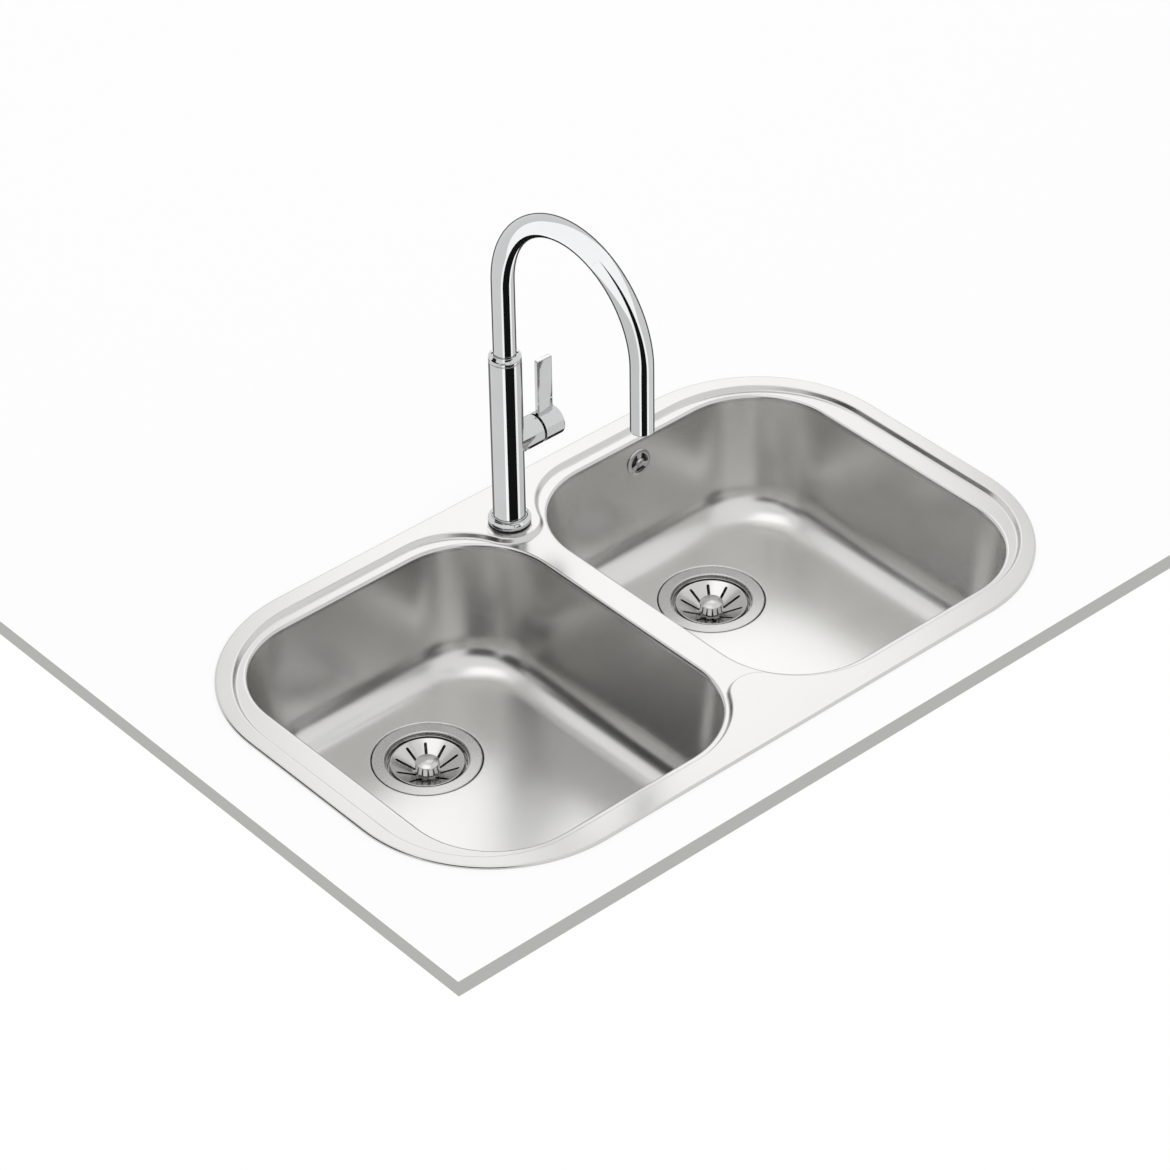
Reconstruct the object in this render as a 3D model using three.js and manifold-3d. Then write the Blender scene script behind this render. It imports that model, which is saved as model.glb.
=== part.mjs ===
// A double bowl kitchen sink with its mixer tap, strainers, overflow and waste pipes, as separate parts.
// Millimetres, +Z up. The origin is the middle of the sink on the worktop's top face.
// +X runs along the sink, and +Y runs to the back, where the tap stands.

import * as THREE from "three";
import { mergeVertices } from "three/addons/utils/BufferGeometryUtils.js";
import Module from "manifold-3d";

const wasm = await Module();
wasm.setup();

// ---------------------------------------------------------------- driving dimensions

const seatGap = 0.3; // left between two pieces that touch
const sheet = 1; // steel sheet of deck and bowls

// Deck
const sinkLength = 840;
const sinkWidth = 500;
const sinkCornerRadius = 163;
const rimRise = 3; // rim's top above the worktop
const lipRound = 3;
const endBorder = 17; // flat band between the outline and the step
const backBorder = 21;
const frontBorder = 27;
const backLedgeCornerRadius = 142;
const frontLedgeCornerRadius = 125;
const stepDrop = 5;
const stepRun = 3;
const edgeRound = 4; // bend from the deck down into a bowl
const edgeLip = 2; // straight part under that bend, where the bowl is welded on
const cutoutMargin = 12; // worktop left under the rim
const worktopThickness = 38;

// Bowls
const bowlEndMargin = 45; // between the outline and a bowl, at the ends
const bowlSideMargin = 38; // the same at the back and the front
const dividerWidth = 36;
const bowlCornerRadius = 97;
const floorDepth = 148; // floor below the worktop's top face
const wallDraft = 8;
const floorFillet = 38;
const drainFromBackWall = 117;
const recessRadius = 58.5;
const recessDepth = 3;
const drainHoleRadius = 45;

// Raised landings between the bowls, at the back under the tap and at the front
const tapFromBackEdge = 60;
const backLandingRadius = 31.5;
const backFlankRadius = 85;
const frontLandingDepth = 92; // from the front edge to the landing's tip
const frontLandingRadius = 30;
const frontFlankRadius = 108;

// Tap
const tapHoleRadius = 17.5;
const columnRadius = 17;
const columnTop = 205;
const collarTop = 213;
const baseRingRadius = 22.5;
const baseRingHeight = 8.7;
const baseSealThickness = 1.2;
const bossHeight = 101; // axis of the side boss above the worktop
const bossRadius = 16;
const bossReach = 37.3; // from the column's axis to the boss's end
const hubGap = 2.7;
const hubLength = 25;
const hubSkirt = 1.2;
const leverPivotInset = 12; // tilt axis, inboard of the hub's rim
const leverTop = 183;
const leverWidth = 19.7;
const leverThickness = 5;
const cartridgeBoreRadius = 13.4;
const spoutRadius = 12;
const spoutBoreRadius = 10;
const spoutSocketRadius = 14.4;
const spoutSocketFloor = 151;
const archRadius = 103;
const archCentreHeight = 299;
const outletHeight = 226;
const studRadius = 4;
const studInset = 9; // clamp stud, to the left of the tap's axis
const portRadius = 5.2; // supply hose ports in the tap's foot
const portDepth = 25;
const portShift = 2; // ports, to the right of the tap's axis
const portSpacing = 14;
const feedRadius = 2.6; // waterways from the ports to the cartridge
const waterwayRadius = 7; // from the cartridge up to the spout's socket

// Strainers and waste
const flangeRadius = 56.5;
const flangeSheet = 1;
const cupRadius = 43; // inside, above the step that the basket's rim rests on
const cupStepInset = 1.5;
const cupDepth = 44;
const cupGasketThickness = 1.2;
const basketSheet = 0.8;
const slotCount = 10;
const slotStart = 16.5; // from the basket's axis
const slotEnd = 32;
const slotWidth = 2.6;
const basketDishRadius = 37;
const basketFloorRadius = 14;
const basketDepth = 16;
const basketSkirtRadius = 34.5;
const basketSkirtLength = 9;
const basketLip = 3;
const knobRadius = 13;
const knobRise = 5; // above the basket's rim
const wasteScrewRadius = 3;
const wasteBodyWall = 2.4;
const wasteFlangeReach = 4.5;
const wasteConeHeight = 13;
const wasteTailLength = 24;
const wastePipeRadius = 20;
const wastePipeWall = 2.3;
const branchBendRadius = 35;
const branchDrop = 134; // centre line of the cross pipes, below the bowl's floor
const outletDrop = 182;

// Overflow
const overflowDepth = 30;
const overflowHoleRadius = 11;
const overflowSpigotDrop = 30;
const overflowHousingRadius = 16;
const overflowScrewRadius = 2.5;
const rosetteRadius = 15.5;
const overflowPipeRadius = 11;
const overflowPipeWall = 1.7;
const overflowBendRadius = 22;
const rosetteOpenings = [30, 150, 270]; // middles in degrees, with a spoke that points up

// Fixing clips
const clipSpacing = 300;
const railLength = 500;
const railSheet = 1;
const railHeight = 15.7;
const railTopFlange = 6.5;
const railLip = 4;
const railFromStep = 1.5;
const clipWidth = 18;
const clipSheet = 2;
const clipScrewRadius = 3;
const clipScrewInset = 6.5; // from the sink's outline
const clipEndInset = 1.5;
const clipFootDrop = 6; // foot below the worktop's underside
const clipToe = 3; // upturned end of the foot

// ---------------------------------------------------------------- sizes worked out from them

const halfLength = sinkLength / 2;
const halfWidth = sinkWidth / 2;
const bowlLength = halfLength - dividerWidth / 2 - bowlEndMargin;
const bowlWidth = sinkWidth - 2 * bowlSideMargin;
const drainBehindCentre = bowlWidth / 2 - drainFromBackWall;
const tapBehindCentre = halfWidth - tapFromBackEdge;
const ledgeZ = rimRise - stepDrop;
const bowlCentreX = (bowlLength + dividerWidth) / 2;
const weldZ = ledgeZ - edgeRound - edgeLip;
const floorZ = -floorDepth;
const recessZ = floorZ - recessDepth;
const flangeTopZ = recessZ + seatGap + cupGasketThickness + seatGap + flangeSheet;
const backLedgeY = halfWidth - backBorder;
const frontLedgeY = -(halfWidth - frontBorder);
const hubStart = bossReach + hubGap;
const hubEnd = hubStart + hubLength;
const leverPivotX = hubStart - leverPivotInset;
const tapSeatZ = rimRise + seatGap + baseSealThickness + seatGap;

// ---------------------------------------------------------------- finishes

const finishes = {
  satinSteel: { color: 0xc9c8c5, roughness: 0.32, metalness: 1 },
  brightSteel: { color: 0xd6d6d4, roughness: 0.15, metalness: 1 },
  chrome: { color: 0xdadcde, roughness: 0.05, metalness: 1 },
  zincSteel: { color: 0xa9abad, roughness: 0.45, metalness: 1 },
  brass: { color: 0xb8954f, roughness: 0.35, metalness: 1 },
  rubber: { color: 0x1d1d1f, roughness: 0.85, metalness: 0 },
  foam: { color: 0x3b3c3e, roughness: 0.95, metalness: 0 },
  whitePlastic: { color: 0xe6e6e2, roughness: 0.5, metalness: 0 },
  greyPlastic: { color: 0x8d9093, roughness: 0.55, metalness: 0 },
};

// ---------------------------------------------------------------- outlines in plan

const radians = THREE.MathUtils.degToRad;

// Points on an arc, both ends included, from one angle to the other in degrees.
function arc(centreX, centreY, radius, fromAngle, toAngle, segments) {
  const points = [];
  for (let i = 0; i <= segments; i += 1) {
    const angle = radians(fromAngle + ((toAngle - fromAngle) * i) / segments);
    points.push(new THREE.Vector2(centreX + radius * Math.cos(angle), centreY + radius * Math.sin(angle)));
  }
  return points;
}

function circle(centreX, centreY, radius, segments) {
  return arc(centreX, centreY, radius, 0, 360, segments).slice(0, segments);
}

function roundedRectangle(centreX, centreY, halfX, halfY, radius, segments) {
  const x = halfX - radius;
  const y = halfY - radius;
  return [
    ...arc(centreX + x, centreY + y, radius, 0, 90, segments),
    ...arc(centreX - x, centreY + y, radius, 90, 180, segments),
    ...arc(centreX - x, centreY - y, radius, 180, 270, segments),
    ...arc(centreX + x, centreY - y, radius, 270, 360, segments),
  ];
}

const outline = (inset) =>
  roundedRectangle(0, 0, halfLength - inset, halfWidth - inset, sinkCornerRadius - inset, 8);

function bowlOutline(side, inset) {
  const halfX = bowlLength / 2 - inset;
  const halfY = bowlWidth / 2 - inset;
  return roundedRectangle(side * bowlCentreX, 0, halfX, halfY, bowlCornerRadius - inset, 6);
}

// A landing's tip is an arc, and its two flanks are arcs that touch the tip and the ledge's long side.
function landing(tipCentreY, tipRadius, flankRadius, ledgeY) {
  const outward = Math.sign(ledgeY);
  const flankCentreY = ledgeY - outward * flankRadius;
  const rise = tipCentreY - flankCentreY;
  const flankCentreX = Math.sqrt((flankRadius + tipRadius) ** 2 - rise ** 2);
  const angle = THREE.MathUtils.radToDeg(Math.atan2(Math.abs(rise), flankCentreX));
  return { tipCentreY, tipRadius, flankRadius, flankCentreX, flankCentreY, angle };
}

const backLanding = landing(tapBehindCentre, backLandingRadius, backFlankRadius, backLedgeY);
const frontLanding = landing(
  -(halfWidth - frontLandingDepth + frontLandingRadius),
  frontLandingRadius,
  frontFlankRadius,
  frontLedgeY,
);

// The edge of the lowered ledge round both bowls, drawn in by an inset, anticlockwise from the right end.
function ledgeOutline(inset) {
  const endX = halfLength - endBorder;
  const backCorner = backLedgeCornerRadius;
  const frontCorner = frontLedgeCornerRadius;
  const backX = endX - backCorner;
  const backY = backLedgeY - backCorner;
  const frontX = endX - frontCorner;
  const frontY = frontLedgeY + frontCorner;
  const back = backLanding;
  const front = frontLanding;
  const flankSegments = 6;
  const tipSegments = 10;
  return [
    ...arc(backX, backY, backCorner - inset, 0, 90, 8),
    ...arc(back.flankCentreX, back.flankCentreY, back.flankRadius - inset, 90, 180 - back.angle, flankSegments),
    ...arc(0, back.tipCentreY, back.tipRadius + inset, -back.angle, back.angle - 180, tipSegments).slice(1, -1),
    ...arc(-back.flankCentreX, back.flankCentreY, back.flankRadius - inset, back.angle, 90, flankSegments),
    ...arc(-backX, backY, backCorner - inset, 90, 180, 8),
    ...arc(-frontX, frontY, frontCorner - inset, 180, 270, 8),
    ...arc(-front.flankCentreX, front.flankCentreY, front.flankRadius - inset, 270, 360 - front.angle, flankSegments),
    ...arc(0, front.tipCentreY, front.tipRadius + inset, 180 - front.angle, front.angle, tipSegments).slice(1, -1),
    ...arc(front.flankCentreX, front.flankCentreY, front.flankRadius - inset, 180 + front.angle, 270, flankSegments),
    ...arc(frontX, frontY, frontCorner - inset, 270, 360, 8),
  ];
}

// ---------------------------------------------------------------- solids

// A closed body put together from strips between level loops and flat regions with holes.
class Skin {
  constructor() {
    this.positions = [];
  }

  face(a, b, c) {
    for (const corner of [a, b, c]) {
      this.positions.push(corner.x, corner.y, corner.z);
    }
  }

  // Joins each level [outline, height] to the next one; all outlines have the same number of points.
  // A strip that runs down faces away from the middle, and one that runs up faces the middle.
  strips(levels) {
    const loops = levels.map(([points, z]) => points.map((p) => new THREE.Vector3(p.x, p.y, z)));
    for (let k = 0; k + 1 < loops.length; k += 1) {
      const upper = loops[k];
      const lower = loops[k + 1];
      upper.forEach((corner, i) => {
        const next = (i + 1) % upper.length;
        this.face(corner, lower[i], lower[next]);
        this.face(corner, lower[next], upper[next]);
      });
    }
  }

  // A flat region at one height, facing up or down.
  region(outer, holes, z, facingUp) {
    const loops = [outer, ...holes].flat();
    const triangles = THREE.ShapeUtils.triangulateShape(outer, holes);
    for (const triangle of triangles) {
      const [a, b, c] = triangle.map((i) => new THREE.Vector3(loops[i].x, loops[i].y, z));
      const turn = (b.x - a.x) * (c.y - a.y) - (b.y - a.y) * (c.x - a.x);
      if (turn > 0 === facingUp) {
        this.face(a, b, c);
      } else {
        this.face(a, c, b);
      }
    }
  }

  geometry() {
    const geometry = new THREE.BufferGeometry();
    geometry.setAttribute("position", new THREE.Float32BufferAttribute(this.positions, 3));
    return geometry;
  }
}

function solidOf(geometry) {
  const bare = new THREE.BufferGeometry();
  const source = geometry.index ? geometry.toNonIndexed() : geometry;
  bare.setAttribute("position", source.getAttribute("position").clone());
  const merged = mergeVertices(bare, 1e-3);
  const vertProperties = new Float32Array(merged.getAttribute("position").array);
  const triVerts = new Uint32Array(merged.index.array);
  const solid = new wasm.Manifold(new wasm.Mesh({ numProp: 3, vertProperties, triVerts }));
  if (solid.volume() > 0) {
    return solid;
  }
  for (let i = 0; i < triVerts.length; i += 3) {
    [triVerts[i + 1], triVerts[i + 2]] = [triVerts[i + 2], triVerts[i + 1]];
  }
  return new wasm.Manifold(new wasm.Mesh({ numProp: 3, vertProperties, triVerts }));
}

function geometryOf(solid) {
  const made = solid.getMesh();
  const positions = new Float32Array(made.numVert * 3);
  for (let i = 0; i < made.numVert; i += 1) {
    positions.set(made.vertProperties.subarray(i * made.numProp, i * made.numProp + 3), i * 3);
  }
  const geometry = new THREE.BufferGeometry();
  geometry.setAttribute("position", new THREE.BufferAttribute(positions, 3));
  geometry.setIndex(new THREE.BufferAttribute(new Uint32Array(made.triVerts), 1));
  return geometry;
}

const join = (...geometries) => geometryOf(geometries.map(solidOf).reduce((whole, solid) => whole.add(solid)));

const cut = (geometry, ...tools) =>
  geometryOf(tools.map(solidOf).reduce((whole, solid) => whole.subtract(solid), solidOf(geometry)));

// A body turned about the Z axis from points [radius, height]; the profile closes on itself or on the axis.
function turned(profile, segments = 20) {
  const points = profile.map(([radius, height]) => new THREE.Vector2(radius, height));
  const onAxis = profile[0][0] === 0 && profile[profile.length - 1][0] === 0;
  if (!onAxis) {
    points.push(points[0].clone());
  }
  return new THREE.LatheGeometry(points, segments).rotateX(Math.PI / 2);
}

const ring = (innerRadius, outerRadius, bottom, top, segments) =>
  turned(
    [
      [innerRadius, bottom],
      [outerRadius, bottom],
      [outerRadius, top],
      [innerRadius, top],
    ],
    segments,
  );

const rod = (radius, bottom, top, segments = 20) =>
  new THREE.CylinderGeometry(radius, radius, top - bottom, segments)
    .rotateX(Math.PI / 2)
    .translate(0, 0, (bottom + top) / 2);

const block = (x0, x1, y0, y1, z0, z1) =>
  new THREE.BoxGeometry(x1 - x0, y1 - y0, z1 - z0).translate((x0 + x1) / 2, (y0 + y1) / 2, (z0 + z1) / 2);

function prism(points, holes, bottom, top) {
  const shape = new THREE.Shape(points);
  for (const hole of holes) {
    shape.holes.push(new THREE.Path(hole));
  }
  const settings = { depth: top - bottom, bevelEnabled: false, curveSegments: 1 };
  return new THREE.ExtrudeGeometry(shape, settings).translate(0, 0, bottom);
}

// A straight run, a bend and a second straight run. The bend starts along one direction and leans to the other.
class BentPath extends THREE.Curve {
  constructor(start, direction, leanTo, firstRun, bendRadius, bendAngle, lastRun, bendSteps) {
    super();
    this.start = start;
    this.direction = direction;
    this.leanTo = leanTo;
    this.bendRadius = bendRadius;
    this.bendAngle = bendAngle;
    this.runs = [firstRun, bendRadius * bendAngle, lastRun];
    this.bendSteps = bendSteps;
    this.steps = bendSteps + 2;
  }

  // Each straight run takes one step, and the bend takes the others.
  getUtoTmapping(share) {
    const [first, bend, last] = this.runs;
    const step = share * this.steps;
    const bent = THREE.MathUtils.clamp(step - 1, 0, this.bendSteps) / this.bendSteps;
    const along = first * Math.min(step, 1) + bend * bent + last * Math.max(step - 1 - this.bendSteps, 0);
    return along / (first + bend + last);
  }

  getPoint(t, target = new THREE.Vector3()) {
    const [first, bend, last] = this.runs;
    const along = t * (first + bend + last);
    const angle = THREE.MathUtils.clamp((along - first) / this.bendRadius, 0, this.bendAngle);
    const before = Math.min(along, first);
    const after = Math.max(along - first - bend, 0);
    const forward = before + this.bendRadius * Math.sin(angle) + after * Math.cos(angle);
    const aside = this.bendRadius * (1 - Math.cos(angle)) + after * Math.sin(angle);
    return target.copy(this.start).addScaledVector(this.direction, forward).addScaledVector(this.leanTo, aside);
  }
}

// A pipe of round section along a bent path.
function pipe(path, outerRadius, innerRadius, sides) {
  const shape = new THREE.Shape(circle(0, 0, outerRadius, sides));
  shape.holes.push(new THREE.Path(circle(0, 0, innerRadius, sides)));
  const settings = { extrudePath: path, steps: path.steps, bevelEnabled: false, curveSegments: 1 };
  return new THREE.ExtrudeGeometry(shape, settings);
}

const model = new THREE.Group();

function add(parent, name, finish, geometry) {
  const shown = geometry.index ? geometry.toNonIndexed() : geometry;
  shown.computeVertexNormals();
  const material = new THREE.MeshStandardMaterial({ ...finishes[finish], flatShading: true });
  const mesh = new THREE.Mesh(shown, material);
  mesh.name = name;
  parent.add(mesh);
  return mesh;
}

function groupAt(parent, x, y, z) {
  const group = new THREE.Group();
  group.position.set(x, y, z);
  parent.add(group);
  return group;
}

// ---------------------------------------------------------------- deck and bowls

// How far the underside of a bent sheet is shifted sideways at the bend.
const stepMitre = sheet * Math.tan(Math.atan2(stepDrop, stepRun) / 2);

function deckGeometry() {
  const skin = new Skin();
  const tapHole = circle(0, tapBehindCentre, tapHoleRadius, 24);
  const bend = lipRound * 0.4;

  // Outer lip: over the rim's top, down to the worktop and back up inside.
  skin.strips([
    [outline(lipRound), rimRise],
    [outline(bend), rimRise - bend / 2],
    [outline(0), rimRise - lipRound + sheet],
    [outline(0), seatGap],
    [outline(sheet), seatGap],
    [outline(sheet), rimRise - lipRound + sheet / 2],
    [outline(lipRound + sheet / 2), rimRise - sheet],
  ]);

  // Raised border with the two landings, top and underside.
  skin.region(outline(lipRound), [ledgeOutline(0), tapHole], rimRise, true);
  skin.region(outline(lipRound + sheet / 2), [ledgeOutline(-stepMitre), tapHole], rimRise - sheet, false);
  skin.strips([
    [tapHole, rimRise - sheet],
    [tapHole, rimRise],
  ]);

  // Step down to the ledge.
  skin.strips([
    [ledgeOutline(stepRun), ledgeZ],
    [ledgeOutline(0), rimRise],
  ]);
  skin.strips([
    [ledgeOutline(-stepMitre), rimRise - sheet],
    [ledgeOutline(stepRun - stepMitre), ledgeZ - sheet],
  ]);

  // Ledge with the two openings.
  const openings = [-1, 1].map((side) => bowlOutline(side, -edgeRound));
  skin.region(ledgeOutline(stepRun), openings, ledgeZ, true);
  skin.region(ledgeOutline(stepRun - stepMitre), openings, ledgeZ - sheet, false);

  // Bend down into each bowl, and its underside.
  const bendAngles = [0, 45, 90].map(radians);
  for (const side of [-1, 1]) {
    const bendCentreZ = ledgeZ - edgeRound;
    const bent = (radius) =>
      bendAngles.map((angle) => [
        bowlOutline(side, radius * Math.sin(angle) - edgeRound),
        bendCentreZ + radius * Math.cos(angle),
      ]);
    skin.strips([
      ...bent(edgeRound - sheet),
      [bowlOutline(side, -sheet), weldZ],
      [bowlOutline(side, 0), weldZ],
      ...bent(edgeRound).reverse(),
    ]);
  }
  return skin.geometry();
}

// Levels of a bowl's wall and rounded floor edge; grow is 0 inside and the sheet outside.
function bowlLevels(side, grow) {
  const filletSegments = 4;
  const radius = floorFillet + grow;
  const filletZ = floorZ + floorFillet;
  const levels = [[bowlOutline(side, -grow), weldZ - seatGap]];
  for (let i = 0; i <= filletSegments; i += 1) {
    const angle = radians((90 * i) / filletSegments);
    const inset = wallDraft + floorFillet - radius * Math.cos(angle);
    levels.push([bowlOutline(side, inset), filletZ - radius * Math.sin(angle)]);
  }
  return levels;
}

function bowlGeometry(side) {
  const skin = new Skin();
  const drainX = side * bowlCentreX;
  const drainCircle = (radius) => circle(drainX, drainBehindCentre, radius, 28);
  const inside = bowlLevels(side, 0);
  const outside = bowlLevels(side, sheet);
  skin.strips([...[...inside].reverse(), ...outside]);

  // Floor, pressed recess round the drain, and the drain hole.
  const insideEdge = inside[inside.length - 1][0];
  const outsideEdge = outside[outside.length - 1][0];
  skin.region(insideEdge, [drainCircle(recessRadius)], floorZ, true);
  skin.region(outsideEdge, [drainCircle(recessRadius + sheet)], floorZ - sheet, false);
  skin.strips([
    [drainCircle(recessRadius), recessZ],
    [drainCircle(recessRadius), floorZ],
  ]);
  skin.region(drainCircle(recessRadius), [drainCircle(drainHoleRadius)], recessZ, true);
  skin.strips([
    [drainCircle(drainHoleRadius), recessZ - sheet],
    [drainCircle(drainHoleRadius), recessZ],
  ]);
  skin.region(drainCircle(recessRadius + sheet), [drainCircle(drainHoleRadius)], recessZ - sheet, false);
  skin.strips([
    [drainCircle(recessRadius + sheet), floorZ - sheet],
    [drainCircle(recessRadius + sheet), recessZ - sheet],
  ]);
  return skin.geometry();
}

// The bowl's back wall leans by the draft; the overflow lies square to it.
const filletTopZ = floorZ + floorFillet;
const wallLean = Math.atan2(wallDraft, weldZ - seatGap - filletTopZ);
const overflowWallY = bowlWidth / 2 - Math.tan(wallLean) * (overflowDepth + weldZ - seatGap);

// A group whose +Z points into the right bowl, square to its back wall, at the overflow.
function overflowGroup() {
  const group = groupAt(model, bowlCentreX, overflowWallY, -overflowDepth);
  group.rotation.x = Math.PI / 2 - wallLean;
  group.updateMatrixWorld(true);
  return group;
}

const sinkParts = groupAt(model, 0, 0, 0);
const overflow = overflowGroup();
const overflowHole = rod(overflowHoleRadius, -floorFillet / 2, floorFillet / 2).applyMatrix4(overflow.matrixWorld);

add(sinkParts, "sink_deck", "satinSteel", deckGeometry());
add(sinkParts, "left_bowl", "satinSteel", bowlGeometry(-1));
add(sinkParts, "right_bowl", "satinSteel", cut(bowlGeometry(1), overflowHole));

// Foam strip between the rim and the worktop; its underside is the worktop's top face.
const gasketStart = lipRound;
const gasketEnd = cutoutMargin;
const gasketTop = rimRise - sheet - seatGap;
const gasketSkin = new Skin();
gasketSkin.strips([
  [outline(gasketEnd), 0],
  [outline(gasketEnd), gasketTop],
]);
gasketSkin.strips([
  [outline(gasketStart + sheet), gasketTop],
  [outline(gasketStart + sheet), 0],
]);
gasketSkin.region(outline(gasketStart + sheet), [outline(gasketEnd)], gasketTop, true);
gasketSkin.region(outline(gasketStart + sheet), [outline(gasketEnd)], 0, false);
add(sinkParts, "rim_gasket", "foam", gasketSkin.geometry());

// Sound-deadening pad under each bowl's floor, in front of the drain.
const padThickness = 3;
const padCornerRadius = 30;
const padClearance = 8; // from the rounded edge of the floor
const padInset = wallDraft + floorFillet + padClearance;
const padFront = -bowlWidth / 2 + padInset;
const padBack = drainBehindCentre - recessRadius - sheet - padClearance;
for (const [side, name] of [[-1, "left_sound_pad"], [1, "right_sound_pad"]]) {
  const padOutline = roundedRectangle(
    side * bowlCentreX,
    (padFront + padBack) / 2,
    bowlLength / 2 - padInset,
    (padBack - padFront) / 2,
    padCornerRadius,
    4,
  );
  const padTop = floorZ - sheet - seatGap;
  add(sinkParts, name, "rubber", prism(padOutline, [], padTop - padThickness, padTop));
}

// Plate that stiffens the back landing under the tap.
const supportThickness = 3.5;
const supportTop = rimRise - sheet - seatGap;
const supportTipInset = 3.5;
const supportHalfLength = 55;
const supportBackY = backLedgeY - 5;
const supportOutline = [
  ...arc(0, tapBehindCentre, backLandingRadius - supportTipInset, -160, -20, 8),
  new THREE.Vector2(supportHalfLength, supportBackY),
  new THREE.Vector2(-supportHalfLength, supportBackY),
];
add(
  sinkParts,
  "tap_support_plate",
  "zincSteel",
  prism(
    supportOutline,
    [circle(0, tapBehindCentre, tapHoleRadius, 24)],
    supportTop - supportThickness,
    supportTop,
  ),
);

// ---------------------------------------------------------------- fixing rails and clips

const railSides = [
  { name: "back", direction: 1, startY: backLedgeY + railFromStep },
  { name: "front", direction: -1, startY: -frontLedgeY + railFromStep },
];
const railTop = rimRise - sheet - seatGap;
const railBottom = railTop - railHeight;
const clipFootTop = -worktopThickness - clipFootDrop;
const clipEndY = halfWidth - clipEndInset;
const clipScrewY = halfWidth - clipScrewInset;

// Extrudes an outline drawn as [distance from the rail's face, height] along X.
function alongRail(outlinePoints, centreX, length, side) {
  const points = outlinePoints.map(([y, z]) => new THREE.Vector2(side.direction * (side.startY + y), z));
  const geometry = new THREE.ExtrudeGeometry(new THREE.Shape(points), { depth: length, bevelEnabled: false });
  geometry.applyMatrix4(new THREE.Matrix4().set(0, 0, 1, centreX - length / 2, 1, 0, 0, 0, 0, 1, 0, 0, 0, 0, 0, 1));
  return geometryOf(solidOf(geometry));
}

function railGeometry(side) {
  const profile = [
    [0, railBottom],
    [railLip, railBottom],
    [railLip, railBottom + railSheet],
    [railSheet, railBottom + railSheet],
    [railSheet, railTop - railSheet],
    [railTopFlange, railTop - railSheet],
    [railTopFlange, railTop],
    [0, railTop],
  ];
  return alongRail(profile, 0, railLength, side);
}

function clipBracketGeometry(side, x) {
  const tabStart = railSheet + seatGap;
  const tabBottom = railBottom + railSheet + seatGap;
  const wallStart = railLip + seatGap;
  const footEnd = clipEndY - side.startY;
  const footBottom = clipFootTop - clipSheet;
  const profile = [
    [tabStart, tabBottom],
    [wallStart, tabBottom],
    [wallStart, footBottom],
    [footEnd, footBottom],
    [footEnd, clipFootTop + clipToe],
    [footEnd - clipSheet * 0.75, clipFootTop + clipToe],
    [footEnd - clipSheet * 0.75, clipFootTop],
    [wallStart + clipSheet, clipFootTop],
    [wallStart + clipSheet, tabBottom + clipSheet],
    [tabStart, tabBottom + clipSheet],
  ];
  const screwHole = rod(clipScrewRadius + seatGap, footBottom - 2, clipFootTop + 2, 12);
  screwHole.translate(x, side.direction * clipScrewY, 0);
  return cut(alongRail(profile, x, clipWidth, side), screwHole);
}

// The screw's point bears on the worktop's underside, and its head is below the bracket's foot.
function clipScrewGeometry() {
  const headTop = clipFootTop - clipSheet - 6;
  const headHeight = 4;
  const tip = -worktopThickness - seatGap;
  return turned(
    [
      [0, headTop - headHeight],
      [clipScrewRadius * 1.7, headTop - headHeight],
      [clipScrewRadius * 1.9, headTop],
      [clipScrewRadius, headTop],
      [clipScrewRadius, tip - 3],
      [0, tip],
    ],
    12,
  );
}

for (const side of railSides) {
  add(sinkParts, `${side.name}_clip_rail`, "zincSteel", railGeometry(side));
  [-clipSpacing / 2, clipSpacing / 2].forEach((x, i) => {
    add(sinkParts, `${side.name}_clip_bracket_${i + 1}`, "zincSteel", clipBracketGeometry(side, x));
    const place = groupAt(sinkParts, x, side.direction * clipScrewY, 0);
    add(place, `${side.name}_clip_screw_${i + 1}`, "zincSteel", clipScrewGeometry());
  });
}

// ---------------------------------------------------------------- tap body and its clamp

const tap = groupAt(model, 0, tapBehindCentre, 0);

// Turns a body made along Z so that it lies along X at the boss's height.
const alongBoss = (geometry) => geometry.rotateY(Math.PI / 2).translate(0, 0, bossHeight);
const studLength = 62;
const studTop = tapSeatZ + 15;

function tapBodyGeometry() {
  const column = rod(columnRadius, tapSeatZ, columnTop, 28);
  const boss = alongBoss(rod(bossRadius, 0, bossReach, 28));
  const cartridgeBore = alongBoss(rod(cartridgeBoreRadius, 4, bossReach + 5, 24));
  const spoutSocket = rod(spoutSocketRadius, spoutSocketFloor, columnTop + 5, 24);
  const waterway = rod(waterwayRadius, bossHeight, spoutSocketFloor + 1, 12);
  const portEnd = tapSeatZ + portDepth;
  const feedX = portShift + 3.5;
  const ports = [-1, 1].flatMap((side) => [
    rod(portRadius, tapSeatZ - 5, portEnd, 16).translate(portShift, (side * portSpacing) / 2, 0),
    rod(feedRadius, portEnd - 1, bossHeight - 8, 8).translate(feedX, (side * portSpacing) / 2, 0),
  ]);
  const studHole = rod(studRadius + seatGap, tapSeatZ - 5, studTop + 1, 12).translate(-studInset, 0, 0);
  return cut(join(column, boss), cartridgeBore, spoutSocket, waterway, studHole, ...ports);
}

// A horseshoe: the slot lets the supply hoses pass.
function clampPlateGeometry(bottom, top, radius) {
  const slotEdge = portShift - portRadius - seatGap;
  const slotHalf = portSpacing / 2 + portRadius + 1.3;
  const disc = rod(radius, bottom, top, 24);
  const slot = block(slotEdge, radius + 5, -slotHalf, slotHalf, bottom - 1, top + 1);
  const studHole = rod(studRadius + seatGap, bottom - 1, top + 1, 16).translate(-studInset, 0, 0);
  return cut(disc, slot, studHole);
}

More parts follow.
